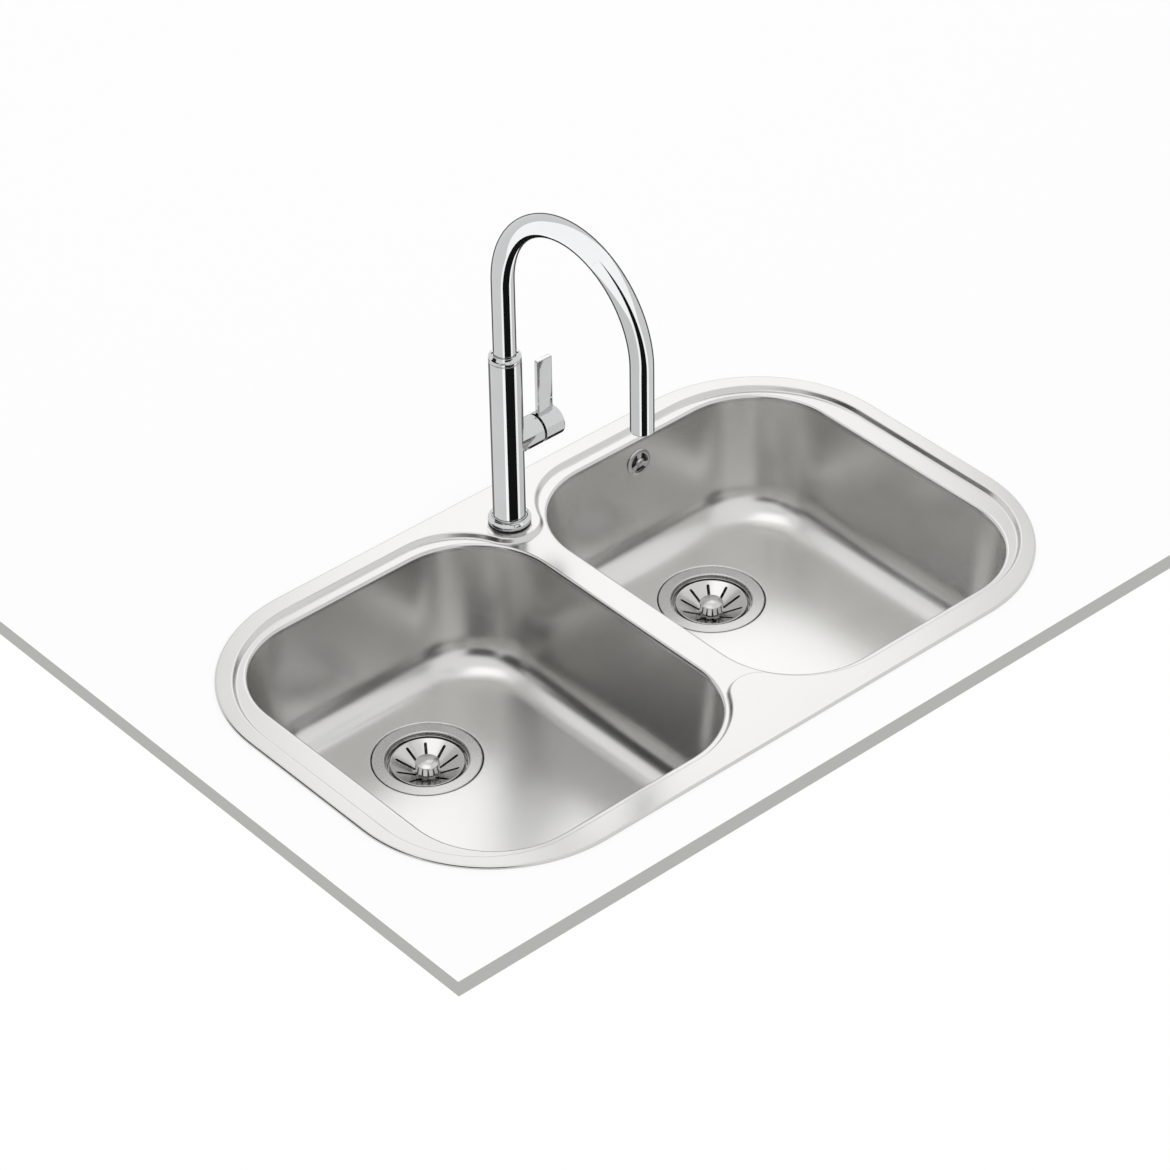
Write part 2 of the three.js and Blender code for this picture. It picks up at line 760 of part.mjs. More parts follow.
add(tap, "tap_body", "chrome", tapBodyGeometry());
add(
  tap,
  "tap_base_ring",
  "chrome",
  turned([
    [columnRadius + seatGap, tapSeatZ],
    [baseRingRadius, tapSeatZ],
    [baseRingRadius, tapSeatZ + baseRingHeight * 0.45],
    [baseRingRadius - 1.2, tapSeatZ + baseRingHeight * 0.7],
    [columnRadius + 1.4, tapSeatZ + baseRingHeight],
    [columnRadius + seatGap, tapSeatZ + baseRingHeight],
  ]),
);
add(
  tap,
  "tap_base_seal",
  "rubber",
  ring(columnRadius - 2.8, baseRingRadius - 0.7, rimRise + seatGap, rimRise + seatGap + baseSealThickness),
);

const clampRubberTop = supportTop - supportThickness - seatGap;
const clampRubberThickness = 2.5;
const clampPlateTop = clampRubberTop - clampRubberThickness - seatGap;
const clampPlateThickness = 3;
const clampNutTop = clampPlateTop - clampPlateThickness - seatGap;
const clampNutHeight = 6.5;
add(
  tap,
  "clamp_rubber_washer",
  "rubber",
  clampPlateGeometry(clampRubberTop - clampRubberThickness, clampRubberTop, 25),
);
add(tap, "clamp_plate", "zincSteel", clampPlateGeometry(clampPlateTop - clampPlateThickness, clampPlateTop, 24));
add(
  groupAt(tap, -studInset, 0, 0),
  "clamp_nut",
  "brass",
  cut(
    rod(7.5, clampNutTop - clampNutHeight, clampNutTop, 6),
    rod(studRadius + seatGap, clampNutTop - clampNutHeight - 1, clampNutTop + 1, 16),
  ),
);
add(groupAt(tap, -studInset, 0, 0), "clamp_stud", "zincSteel", rod(studRadius, studTop - studLength, studTop, 16));

// ---------------------------------------------------------------- spout

const spoutBottom = spoutSocketFloor + seatGap;
const up = new THREE.Vector3(0, 0, 1);
const down = new THREE.Vector3(0, 0, -1);
const forward = new THREE.Vector3(0, -1, 0);

// Up the riser, over a half circle towards the front, and down to the outlet.
const spoutPath = new BentPath(
  new THREE.Vector3(0, 0, spoutBottom),
  up,
  forward,
  archCentreHeight - spoutBottom,
  archRadius,
  Math.PI,
  archCentreHeight - outletHeight,
  18,
);
add(tap, "spout", "chrome", pipe(spoutPath, spoutRadius, spoutBoreRadius, 18));

const sleeveInner = spoutRadius + seatGap;
const sleeveOuter = spoutSocketRadius - seatGap;
const collarSpigot = 6;
add(
  tap,
  "spout_collar",
  "chrome",
  turned([
    [sleeveInner, columnTop + seatGap - collarSpigot],
    [sleeveOuter, columnTop + seatGap - collarSpigot],
    [sleeveOuter, columnTop + seatGap],
    [columnRadius, columnTop + seatGap],
    [columnRadius, collarTop - 4.5],
    [columnRadius - 1.2, collarTop - 1.8],
    [columnRadius - 3.4, collarTop],
    [sleeveInner, collarTop],
  ]),
);
const bushTop = columnTop - collarSpigot;
const bushHeight = 30;
const sealBottom = spoutSocketFloor + seatGap;
const sealHeight = 8;
add(tap, "spout_bush", "whitePlastic", ring(sleeveInner, sleeveOuter, bushTop - bushHeight, bushTop, 20));
add(tap, "spout_seal", "rubber", ring(sleeveInner, sleeveOuter, sealBottom, sealBottom + sealHeight, 20));

const outlet = groupAt(tap, 0, -2 * archRadius, outletHeight);
const cageRadius = spoutBoreRadius - seatGap;
const cageHeight = 9;
add(outlet, "aerator_housing", "chrome", ring(cageRadius - 1.4, cageRadius, 0.5, cageHeight, 20));

function aeratorInsertGeometry() {
  const radius = cageRadius - 1.4 - seatGap;
  const disc = rod(radius, 1.2, cageHeight - 1, 20);
  const bars = [-4.5, -1.5, 1.5, 4.5].map((x) => block(x - 0.7, x + 0.7, -radius * 0.62, radius * 0.62, 0, cageHeight));
  return cut(disc, ...bars);
}
add(outlet, "aerator_insert", "greyPlastic", aeratorInsertGeometry());

// ---------------------------------------------------------------- cartridge and lever

const cartridgeStart = 4.3;
const cartridgeEnd = 26;
const cartridgeRadius = cartridgeBoreRadius - 0.4;
const guideRadius = 8.7;
const guideEnd = 38;
const nutEnd = 36.5;
const stemHalf = 3;
const stemStart = 28.5;
const stemEnd = 56.7;
const hubCavityEnd = hubEnd - 6;
const hubCavityRadius = bossRadius - hubSkirt;

add(
  tap,
  "cartridge_body",
  "greyPlastic",
  alongBoss(
    turned([
      [0, cartridgeStart],
      [cartridgeRadius - 1, cartridgeStart],
      [cartridgeRadius, cartridgeStart + 1],
      [cartridgeRadius, cartridgeEnd],
      [0, cartridgeEnd],
    ]),
  ),
);
add(
  tap,
  "cartridge_nut",
  "brass",
  alongBoss(ring(guideRadius + seatGap, cartridgeRadius, cartridgeEnd + seatGap, nutEnd, 20)),
);

// The guide turns with the lever; its slot lets the stem tilt downwards as the lever tilts out.
function cartridgeGuideGeometry() {
  const disc = alongBoss(rod(guideRadius, cartridgeEnd + seatGap, guideEnd, 20));
  const slot = block(27.2, guideEnd + 2, -stemHalf - 0.3, stemHalf + 0.3, bossHeight - 7.4, bossHeight + 3.8);
  return cut(disc, slot);
}
add(tap, "cartridge_guide", "whitePlastic", cartridgeGuideGeometry());
add(
  tap,
  "cartridge_stem",
  "zincSteel",
  block(stemStart, stemEnd, -stemHalf, stemHalf, bossHeight - stemHalf, bossHeight + stemHalf),
);

const grubFromHubEnd = 13.6;
const grubX = hubEnd - grubFromHubEnd;
const grubRadius = 2.5;

function leverGeometry() {
  const hub = alongBoss(
    turned([
      [hubCavityRadius, hubStart],
      [bossRadius, hubStart],
      [bossRadius, hubEnd - 1],
      [bossRadius - 1, hubEnd],
      [0, hubEnd],
      [0, hubCavityEnd],
      [hubCavityRadius, hubCavityEnd],
    ], 28),
  );
  const post = alongBoss(rod(6.5, hubStart + 4, hubCavityEnd + 1, 16));
  const bladeOutline = [
    new THREE.Vector2(hubStart, bossHeight + hubCavityRadius + 0.2),
    new THREE.Vector2(hubStart + leverWidth, bossHeight + hubCavityRadius + 0.2),
    ...arc(hubStart + leverWidth - 1.5, leverTop - 1.5, 1.5, 0, 90, 3),
    ...arc(hubStart + 1.5, leverTop - 1.5, 1.5, 90, 180, 3),
  ];
  const blade = prism(bladeOutline, [], -leverThickness / 2, leverThickness / 2).rotateX(Math.PI / 2);
  const half = stemHalf + seatGap;
  const socket = block(hubStart, stemEnd + seatGap, -half, half, bossHeight - half, bossHeight + half);
  const grubHole = rod(grubRadius + seatGap, bossHeight - bossRadius - 2, bossHeight - stemHalf, 14);
  return cut(join(hub, post, blade), socket, grubHole.translate(grubX, 0, 0));
}
add(tap, "lever", "chrome", leverGeometry());
add(
  groupAt(tap, grubX, 0, 0),
  "lever_grub_screw",
  "zincSteel",
  rod(grubRadius, bossHeight - bossRadius + 0.6, bossHeight - stemHalf - seatGap, 14),
);

// ---------------------------------------------------------------- strainers and waste bodies

const cupBottomZ = flangeTopZ - cupDepth;
const cupStepZ = flangeTopZ - 5;
const cupLowerRadius = cupRadius - cupStepInset;
const wasteBodyTop = recessZ - sheet - seatGap;
const wasteBodyInner = cupRadius + flangeSheet + 0.6;
const wasteConeTop = cupBottomZ - flangeSheet - 4;
const wasteConeBottom = wasteConeTop - wasteConeHeight;
const wasteOutletBottom = wasteConeBottom - wasteTailLength;
const overflowPortZ = cupBottomZ + 16;
const basketRimZ = cupStepZ + seatGap;
const basketBottomZ = basketRimZ - basketDepth;
const skirtBottomZ = basketBottomZ - basketSkirtLength;

function strainerCupGeometry() {
  const cup = turned(
    [
      [cupRadius, flangeTopZ - flangeSheet],
      [cupRadius, cupStepZ],
      [cupLowerRadius, cupStepZ],
      [cupLowerRadius, cupBottomZ],
      [wasteScrewRadius + 0.3, cupBottomZ],
      [wasteScrewRadius + 0.3, cupBottomZ - flangeSheet],
      [cupLowerRadius + flangeSheet, cupBottomZ - flangeSheet],
      [cupLowerRadius + flangeSheet, cupStepZ - flangeSheet],
      [cupRadius + flangeSheet, cupStepZ - flangeSheet],
      [cupRadius + flangeSheet, flangeTopZ - flangeSheet],
      [flangeRadius, flangeTopZ - flangeSheet],
      [flangeRadius, flangeTopZ - flangeSheet / 2],
      [flangeRadius - 1, flangeTopZ],
      [cupRadius + 2, flangeTopZ],
    ],
    24,
  );
  const holeCount = 6;
  const holes = [];
  for (let i = 0; i < holeCount; i += 1) {
    const angle = (2 * Math.PI * i) / holeCount;
    holes.push(
      rod(6.5, cupBottomZ - 5, cupBottomZ + 5, 8).translate(24 * Math.cos(angle), 24 * Math.sin(angle), 0),
    );
  }
  return cut(cup, ...holes);
}

// The basket: a rim, a dish with radial slots and a skirt that carries the seal.
function basketGeometry() {
  const rimRadius = cupRadius - 0.5;
  const dishTop = basketDishRadius;
  const dishFoot = basketFloorRadius;
  const skirt = basketSkirtRadius;
  const skirtBottom = skirtBottomZ;
  const slope = (basketRimZ - basketBottomZ) / (dishTop - dishFoot);
  const dishAt = (radius) => basketRimZ - slope * (dishTop - radius);
  const basket = turned(
    [
      [rimRadius, basketRimZ],
      [rimRadius, basketRimZ + basketSheet],
      [dishTop, basketRimZ + basketSheet],
      [dishFoot, basketBottomZ + basketSheet],
      [3.3, basketBottomZ + basketSheet],
      [3.3, basketBottomZ - basketSheet],
      [dishFoot, basketBottomZ - basketSheet],
      [skirt - basketSheet, dishAt(skirt - basketSheet) - basketSheet],
      [skirt - basketSheet, skirtBottom],
      [skirt + basketLip, skirtBottom],
      [skirt + basketLip, skirtBottom + basketSheet],
      [skirt, skirtBottom + basketSheet],
      [skirt, basketRimZ - 4],
      [dishTop + 0.8, basketRimZ - 2],
      [dishTop + 2.2, basketRimZ],
    ],
    20,
  );
  const slots = [];
  for (let i = 0; i < slotCount; i += 1) {
    const angle = (2 * Math.PI * (i + 0.5)) / slotCount;
    slots.push(
      block(
        slotStart,
        slotEnd,
        -slotWidth / 2,
        slotWidth / 2,
        skirtBottomZ,
        basketRimZ + basketDepth,
      ).applyMatrix4(new THREE.Matrix4().makeRotationZ(angle)),
    );
  }
  return cut(basket, ...slots);
}

function sealGeometry() {
  const inner = basketSkirtRadius + seatGap;
  const outer = cupLowerRadius - seatGap;
  const bottom = skirtBottomZ + basketSheet + seatGap;
  return turned(
    [
      [inner, bottom],
      [outer - 2, bottom],
      [outer, bottom + 2.5],
      [outer - 2, bottom + 5],
      [inner, bottom + 5],
    ],
  );
}

// Knob with its stem through the basket and a foot that keeps it there.
function knobGeometry() {
  const top = basketRimZ + knobRise;
  const seat = basketBottomZ + basketSheet + seatGap;
  const foot = basketBottomZ - basketSheet - seatGap;
  return turned(
    [
      [0, foot - 3],
      [6, foot - 3],
      [6, foot],
      [3, foot],
      [3, seat],
      [8, seat],
      [7, seat + 5],
      [knobRadius, top - 4.5],
      [knobRadius, top - 2.5],
      [knobRadius - 2, top - 0.7],
      [knobRadius - 6, top],
      [0, top],
    ],
  );
}

function wasteBodyGeometry(hasOverflowPort) {
  const outer = wasteBodyInner + wasteBodyWall;
  const innerPipe = wastePipeRadius - wastePipeWall;
  const shell = turned(
    [
      [wasteBodyInner, wasteBodyTop],
      [wasteBodyInner, wasteConeTop],
      [innerPipe, wasteConeBottom],
      [innerPipe, wasteOutletBottom],
      [wastePipeRadius, wasteOutletBottom],
      [wastePipeRadius, wasteConeBottom - 1],
      [outer, wasteConeTop - 1],
      [outer, wasteBodyTop - 4],
      [outer + wasteFlangeReach, wasteBodyTop - 4],
      [outer + wasteFlangeReach, wasteBodyTop],
    ],
    24,
  );
  const ribReach = innerPipe + 1.5;
  const ribTop = wasteConeBottom + 6;
  const ribs = [
    block(-ribReach, ribReach, -2, 2, wasteConeBottom, ribTop),
    block(-2, 2, -ribReach, ribReach, wasteConeBottom, ribTop),
    rod(6, wasteConeBottom - 3, cupBottomZ - flangeSheet - seatGap, 12),
  ];
  const screwHole = rod(wasteScrewRadius + seatGap, wasteConeBottom - 1, cupBottomZ, 14);
  if (!hasOverflowPort) {
    return cut(join(shell, ...ribs), screwHole);
  }
  const portRun = (radius, start, end) =>
    rod(radius, start, end, 14).rotateX(-Math.PI / 2).translate(0, 0, overflowPortZ);
  const spigotRadius = overflowPipeRadius - overflowPipeWall - seatGap;
  const spigot = portRun(spigotRadius, wasteBodyInner + 1, outer + 22);
  const spigotBore = portRun(spigotRadius - 1.6, wasteBodyInner - 8, outer + 25);
  return cut(join(shell, ...ribs, spigot), screwHole, spigotBore);
}

function wasteScrewGeometry() {
  const headBottom = cupBottomZ + seatGap;
  return turned(
    [
      [0, wasteConeBottom],
      [wasteScrewRadius, wasteConeBottom],
      [wasteScrewRadius, headBottom],
      [6.5, headBottom],
      [6.5, headBottom + 2],
      [4.5, headBottom + 3.5],
      [0, headBottom + 3.5],
    ],
    12,
  );
}

const slipNutGeometry = () =>
  ring(wastePipeRadius + seatGap, wastePipeRadius + 6, wasteOutletBottom - 8, wasteOutletBottom + 8);

const wasteSides = [
  { name: "left", direction: -1, hasOverflow: false },
  { name: "right", direction: 1, hasOverflow: true },
];
for (const side of wasteSides) {
  const place = groupAt(model, side.direction * bowlCentreX, drainBehindCentre, 0);
  const gasketBottom = recessZ + seatGap;
  const cupGasket = ring(drainHoleRadius + 1, flangeRadius - 1.5, gasketBottom, gasketBottom + cupGasketThickness, 24);
  add(place, `${side.name}_strainer_cup`, "brightSteel", strainerCupGeometry());
  add(place, `${side.name}_cup_gasket`, "rubber", cupGasket);
  add(place, `${side.name}_strainer_basket`, "brightSteel", basketGeometry());
  add(place, `${side.name}_strainer_knob`, "brightSteel", knobGeometry());
  add(place, `${side.name}_strainer_seal`, "rubber", sealGeometry());
  add(place, `${side.name}_waste_body`, "whitePlastic", wasteBodyGeometry(side.hasOverflow));
  add(place, `${side.name}_waste_screw`, "brightSteel", wasteScrewGeometry());
  add(place, `${side.name}_slip_nut`, "whitePlastic", slipNutGeometry());
}

// ---------------------------------------------------------------- waste pipes

const crossPipeZ = floorZ - branchDrop;
const teeRadius = wastePipeRadius + seatGap + wastePipeWall;
const teeReach = 40;
const branchInTee = 16;
const wasteOutletZ = floorZ - outletDrop;

function branchGeometry(direction) {
  const path = new BentPath(
    new THREE.Vector3(direction * bowlCentreX, drainBehindCentre, wasteOutletBottom - seatGap),
    down,
    new THREE.Vector3(-direction, 0, 0),
    wasteOutletBottom - seatGap - crossPipeZ - branchBendRadius,
    branchBendRadius,
    Math.PI / 2,
    bowlCentreX - branchBendRadius - branchInTee,
    5,
  );
  return pipe(path, wastePipeRadius, wastePipeRadius - wastePipeWall, 16);
}

function teeGeometry() {
  const bore = wastePipeRadius - wastePipeWall;
  const across = (radius, start, end) => rod(radius, start, end, 24).rotateY(Math.PI / 2);
  const solid = join(across(teeRadius, -teeReach, teeReach), rod(wastePipeRadius, wasteOutletZ - crossPipeZ, 0));
  return cut(
    solid,
    across(bore, -teeReach - 1, teeReach + 1),
    across(wastePipeRadius + seatGap, branchInTee - seatGap, teeReach + 1),
    across(wastePipeRadius + seatGap, -teeReach - 1, -branchInTee + seatGap),
    rod(bore, wasteOutletZ - crossPipeZ - 1, 0),
  );
}

add(model, "left_branch_pipe", "whitePlastic", branchGeometry(-1));
add(model, "right_branch_pipe", "whitePlastic", branchGeometry(1));
add(groupAt(model, 0, drainBehindCentre, crossPipeZ), "waste_tee", "whitePlastic", teeGeometry());

// ---------------------------------------------------------------- overflow

const rosetteThickness = 2;
const overflowPipeY = bowlWidth / 2 + sheet + overflowPipeRadius;
const housingStart = sheet + seatGap; // behind the wall's inner face
const housingRadius = overflowHousingRadius;
const housingEnd = overflowPipeY + overflowPipeRadius - overflowWallY - 2;
const spigotEndZ = -overflowDepth - overflowSpigotDrop;

function rosetteGeometry() {
  const disc = turned(
    [
      [0, seatGap],
      [rosetteRadius, seatGap],
      [rosetteRadius, seatGap + rosetteThickness / 2],
      [rosetteRadius - 1.5, seatGap + rosetteThickness],
      [0, seatGap + rosetteThickness],
    ],
  );
  const openings = rosetteOpenings.map((middle) => {
    const outside = arc(0, 0, rosetteRadius - 4, middle - 42, middle + 42, 6);
    const inside = arc(0, 0, overflowScrewRadius + 3, middle + 36, middle - 36, 3);
    return prism([...outside, ...inside], [], -rosetteThickness, 2 * rosetteThickness);
  });
  const screwHole = rod(overflowScrewRadius + seatGap, -rosetteThickness, 2 * rosetteThickness, 14);
  return cut(disc, screwHole, ...openings);
}

// Housing behind the wall: a cup that opens at the hole, a boss for the screw and a spigot that points down.
function overflowHousing() {
  const cup = turned(
    [
      [housingRadius, -housingStart],
      [housingRadius, -housingEnd],
      [0, -housingEnd],
      [0, -housingEnd + 2],
      [housingRadius - 2, -housingEnd + 2],
      [housingRadius - 2, -housingStart],
    ],
  ).applyMatrix4(overflow.matrixWorld);
  const boss = rod(5, -housingEnd + 1, -housingStart - 1, 12).applyMatrix4(overflow.matrixWorld);
  const screwHole = rod(overflowScrewRadius + seatGap, -housingEnd + 2.5, 0, 12).applyMatrix4(overflow.matrixWorld);
  const spigotRadius = overflowPipeRadius - overflowPipeWall - seatGap;
  const upright = (radius, bottom, top) => rod(radius, bottom, top, 14).translate(bowlCentreX, overflowPipeY, 0);
  const spigot = upright(spigotRadius, spigotEndZ, -overflowDepth - housingRadius + 3);
  const bore = upright(spigotRadius - 1.6, spigotEndZ - 1, -overflowDepth - housingRadius + 6);
  return cut(join(cup, boss, spigot), bore, screwHole);
}

function overflowPipeGeometry() {
  const top = -overflowDepth - housingRadius - 4;
  const endY = drainBehindCentre + wasteBodyInner + wasteBodyWall + 2;
  const path = new BentPath(
    new THREE.Vector3(bowlCentreX, overflowPipeY, top),
    down,
    forward,
    top - overflowPortZ - overflowBendRadius,
    overflowBendRadius,
    Math.PI / 2,
    overflowPipeY - overflowBendRadius - endY,
    5,
  );
  return pipe(path, overflowPipeRadius, overflowPipeRadius - overflowPipeWall, 14);
}

add(overflow, "overflow_rosette", "brightSteel", rosetteGeometry());
add(
  overflow,
  "overflow_screw",
  "brightSteel",
  turned(
    [
      [0, -housingEnd + 4],
      [overflowScrewRadius, -housingEnd + 4],
      [overflowScrewRadius, rosetteThickness + 2 * seatGap],
      [4.6, rosetteThickness + 2 * seatGap],
      [3.6, rosetteThickness + 2 * seatGap + 1.6],
      [0, rosetteThickness + 2 * seatGap + 2],
    ],
    14,
  ),
);
add(model, "overflow_housing", "greyPlastic", overflowHousing());
add(model, "overflow_pipe", "greyPlastic", overflowPipeGeometry());

export default model;
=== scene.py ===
"""Looks of a double bowl kitchen sink with its mixer tap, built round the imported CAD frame.

Metres, +Z up, in the frame of the CAD part. The origin is the middle of the sink on the worktop's top
face, +X runs along the sink to the right bowl, and +Y runs to the back, where the tap stands.
"""

import logging
import math
from collections.abc import Iterable, Sequence
from dataclasses import dataclass, field
from enum import Enum

import bmesh
import bpy
from mathutils import Matrix, Vector

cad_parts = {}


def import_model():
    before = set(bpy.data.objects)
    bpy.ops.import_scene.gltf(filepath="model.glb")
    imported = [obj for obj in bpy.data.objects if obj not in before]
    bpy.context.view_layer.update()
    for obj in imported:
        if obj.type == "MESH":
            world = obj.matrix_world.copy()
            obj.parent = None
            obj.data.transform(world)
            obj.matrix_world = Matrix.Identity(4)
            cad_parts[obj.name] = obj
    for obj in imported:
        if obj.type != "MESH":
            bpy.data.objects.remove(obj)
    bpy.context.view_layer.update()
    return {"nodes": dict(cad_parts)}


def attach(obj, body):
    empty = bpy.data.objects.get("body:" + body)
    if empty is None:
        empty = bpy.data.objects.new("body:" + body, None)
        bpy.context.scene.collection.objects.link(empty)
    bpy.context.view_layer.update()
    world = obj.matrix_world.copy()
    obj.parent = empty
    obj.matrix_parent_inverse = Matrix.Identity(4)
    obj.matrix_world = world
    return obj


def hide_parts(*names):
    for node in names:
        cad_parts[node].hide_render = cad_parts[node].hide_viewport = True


LOG = logging.getLogger("kitchen_sink")

TOUCH = 1e-6  # two points nearer than this are one
SEAT_GAP = 0.0003  # left between two pieces that touch
SHEET = 0.001  # steel sheet of deck and bowls
BROKEN_EDGE = 0.0003  # rounding of a plain edge
CUT_REACH = 0.005  # how far a cutting bar reaches past what it cuts
OVERLAP = 0.001  # how far forms that are joined, or cut one into the other, overlap
SEAM_STEP = 0.0001  # between the two ends of a section that starts on a flat run
SHARP_TURN = 35.0  # edges that turn by more degrees than this stay sharp

X_AXIS = Vector((1.0, 0.0, 0.0))
Y_AXIS = Vector((0.0, 1.0, 0.0))
Z_AXIS = Vector((0.0, 0.0, 1.0))

Point = tuple[float, float]
Pair = tuple[float, float]  # two values, such as the ends of a range
Corner = tuple[float, ...]  # two coordinates, and a rounding radius where the corner is round
Colour = tuple[float, float, float]
Mesh = bmesh.types.BMesh
Edges = list[bmesh.types.BMEdge]
Socket = bpy.types.NodeSocket


class Body(Enum):
    """The moving bodies of the part."""

    SINK = "sink"
    SPOUT = "spout"
    GUIDE = "guide"
    LEVER = "lever"
    LEFT_STRAINER = "left_strainer"
    RIGHT_STRAINER = "right_strainer"


class Slot(Enum):
    """The material slots of the part's record."""

    SATIN_STEEL = "satin_steel"
    BRIGHT_STEEL = "bright_steel"
    CHROME = "chrome"
    ZINC_STEEL = "zinc_steel"
    BRASS = "brass"
    RUBBER = "rubber"
    FOAM = "foam"
    WHITE_PLASTIC = "white_plastic"
    GREY_PLASTIC = "grey_plastic"


class Side(Enum):
    """The two bowls, with the sign of their place along X."""

    LEFT = -1
    RIGHT = 1

    @property
    def word(self) -> str:
        """The side's word in the names of pieces and nodes."""
        return self.name.lower()

    @property
    def strainer_body(self) -> Body:
        """The body of this side's lift-out strainer."""
        return Body[f"{self.name}_STRAINER"]


# ---------------------------------------------------------------- drawing


def rounded(corners: Sequence[Corner], step: float = 15.0) -> list[Point]:
    """Points of an open line through corners, with an arc at each corner that has a radius.

    Args:
        corners: The corners, each with two coordinates and perhaps a radius.
        step: The most degrees between two points of an arc.

    Returns:
        The points along the line.
    """
    points: list[Point] = []
    for index, corner in enumerate(corners):
        here = Vector(corner[:2])
        if len(corner) == 2 or index in (0, len(corners) - 1):
            points.append((here.x, here.y))
            continue
        back = (Vector(corners[index - 1][:2]) - here).normalized()
        ahead = (Vector(corners[index + 1][:2]) - here).normalized()
        half_open = math.acos(max(-1.0, min(1.0, back.dot(ahead)))) / 2
        centre = here + (back + ahead).normalized() * corner[2] / math.sin(half_open)
        turn = math.pi - 2 * half_open
        count = max(2, math.ceil(math.degrees(turn) / step))
        start = here + back * corner[2] / math.tan(half_open) - centre
        clockwise = -1.0 if back.cross(ahead) > 0 else 1.0
        for i in range(count + 1):
            turned = Matrix.Rotation(clockwise * turn * i / count, 2) @ start
            points.append((centre.x + turned.x, centre.y + turned.y))
    return points


def supported(line: Sequence[Point], inset: float = 0.0004) -> list[Point]:
    """A line with two more points on each long run, near its ends, so that its shading stays even.

    Args:
        line: The points of the line.
        inset: How far from a run's ends the points are added.

    Returns:
        The points.
    """
    points = [line[0]]
    for start, end in zip(line, line[1:]):
        run = Vector(end) - Vector(start)
        if run.length > 8 * inset:
            step = run.normalized() * inset
            points += [tuple(Vector(start) + step), tuple(Vector(end) - step)]
        points.append(end)
    return points


@dataclass(frozen=True)
class Arc:
    """A stretch of an outline in plan, turned about a centre from one angle to another in degrees."""

    x: float
    y: float
    radius: float
    start: float
    end: float
    steps: int = 24

    def place(self, angle: float, height: float) -> Vector:
        """The point of the arc's circle at an angle, at a height."""
        turn = math.radians(angle)
        return Vector((self.x + self.radius * math.cos(turn), self.y + self.radius * math.sin(turn), height))


@dataclass(frozen=True)
class Outline:
    """A closed outline in plan, made of arcs that straight runs join.

    Attributes:
        arcs: The arcs in order.
        support: Length at each end of a straight run that gets a vertex of its own.
    """

    arcs: tuple[Arc, ...]
    support: float = 0.004

    def draw(self, mesh: Mesh, height: float) -> Edges:
        """Draws the outline as a closed loop of edges.

        Args:
            mesh: The mesh to draw in.
            height: The loop's height.

        Returns:
            The loop's edges.
        """
        drawing = bmesh.new()  # operators run faster in a mesh of the loop's own
        first = bmesh.ops.create_vert(drawing, co=self.arcs[0].place(self.arcs[0].start, height))["vert"][0]
        tip = first
        for arc in self.arcs:
            tip = self.line(drawing, tip, arc.place(arc.start, height))
            made = bmesh.ops.spin(
                drawing,
                geom=[tip],
                cent=(arc.x, arc.y, height),
                axis=Z_AXIS,
                angle=math.radians(arc.end - arc.start),
                steps=arc.steps,
            )
            tip = next(item for item in made["geom_last"] if isinstance(item, bmesh.types.BMVert))
        tip = self.line(drawing, tip, first.co.copy())
        bmesh.ops.pointmerge(drawing, verts=[tip, first], merge_co=first.co)
        copies = {vert: mesh.verts.new(vert.co) for vert in drawing.verts}
        edges = [mesh.edges.new([copies[vert] for vert in edge.verts]) for edge in drawing.edges]
        drawing.free()
        return edges

    def line(self, mesh: Mesh, tip: bmesh.types.BMVert, end: Vector) -> bmesh.types.BMVert:
        """Draws a straight run from a vertex, with a support vertex near each of its ends.

        Args:
            mesh: The mesh to draw in.
            tip: The vertex that the run starts from.
            end: Where the run ends.

        Returns:
            The vertex at the run's end.
        """
        run = end - tip.co
        if run.length < TOUCH:
            return tip
        stops = [end]
        if run.length > 3 * self.support:
            inset = run.normalized() * self.support
            stops = [tip.co + inset, end - inset, end]
        for stop in stops:
            tip = bmesh.ops.extrude_vert_indiv(mesh, verts=[tip])["verts"][0]
            tip.co = stop
        return tip


def rounded_rectangle(
    centre: Point, half_x: float, half_y: float, radius: float, steps: int = 24
) -> Outline:
    """An outline of four quarter arcs, anticlockwise from the right end.

    Args:
        centre: The middle in plan.
        half_x: Half the length along X.
        half_y: Half the length along Y.
        radius: The corners' radius.
        steps: The steps of each corner.

    Returns:
        The outline.
    """
    x, y = half_x - radius, half_y - radius
    signs = ((1, 1), (-1, 1), (-1, -1), (1, -1))
    return Outline(
        tuple(
            Arc(centre[0] + sx * x, centre[1] + sy * y, radius, 90.0 * i, 90.0 * (i + 1), steps)
            for i, (sx, sy) in enumerate(signs)
        )
    )


def ring(x: float, y: float, radius: float, steps: int) -> Outline:
    """A round outline about a centre."""
    return Outline((Arc(x, y, radius, 0, 360, steps),))


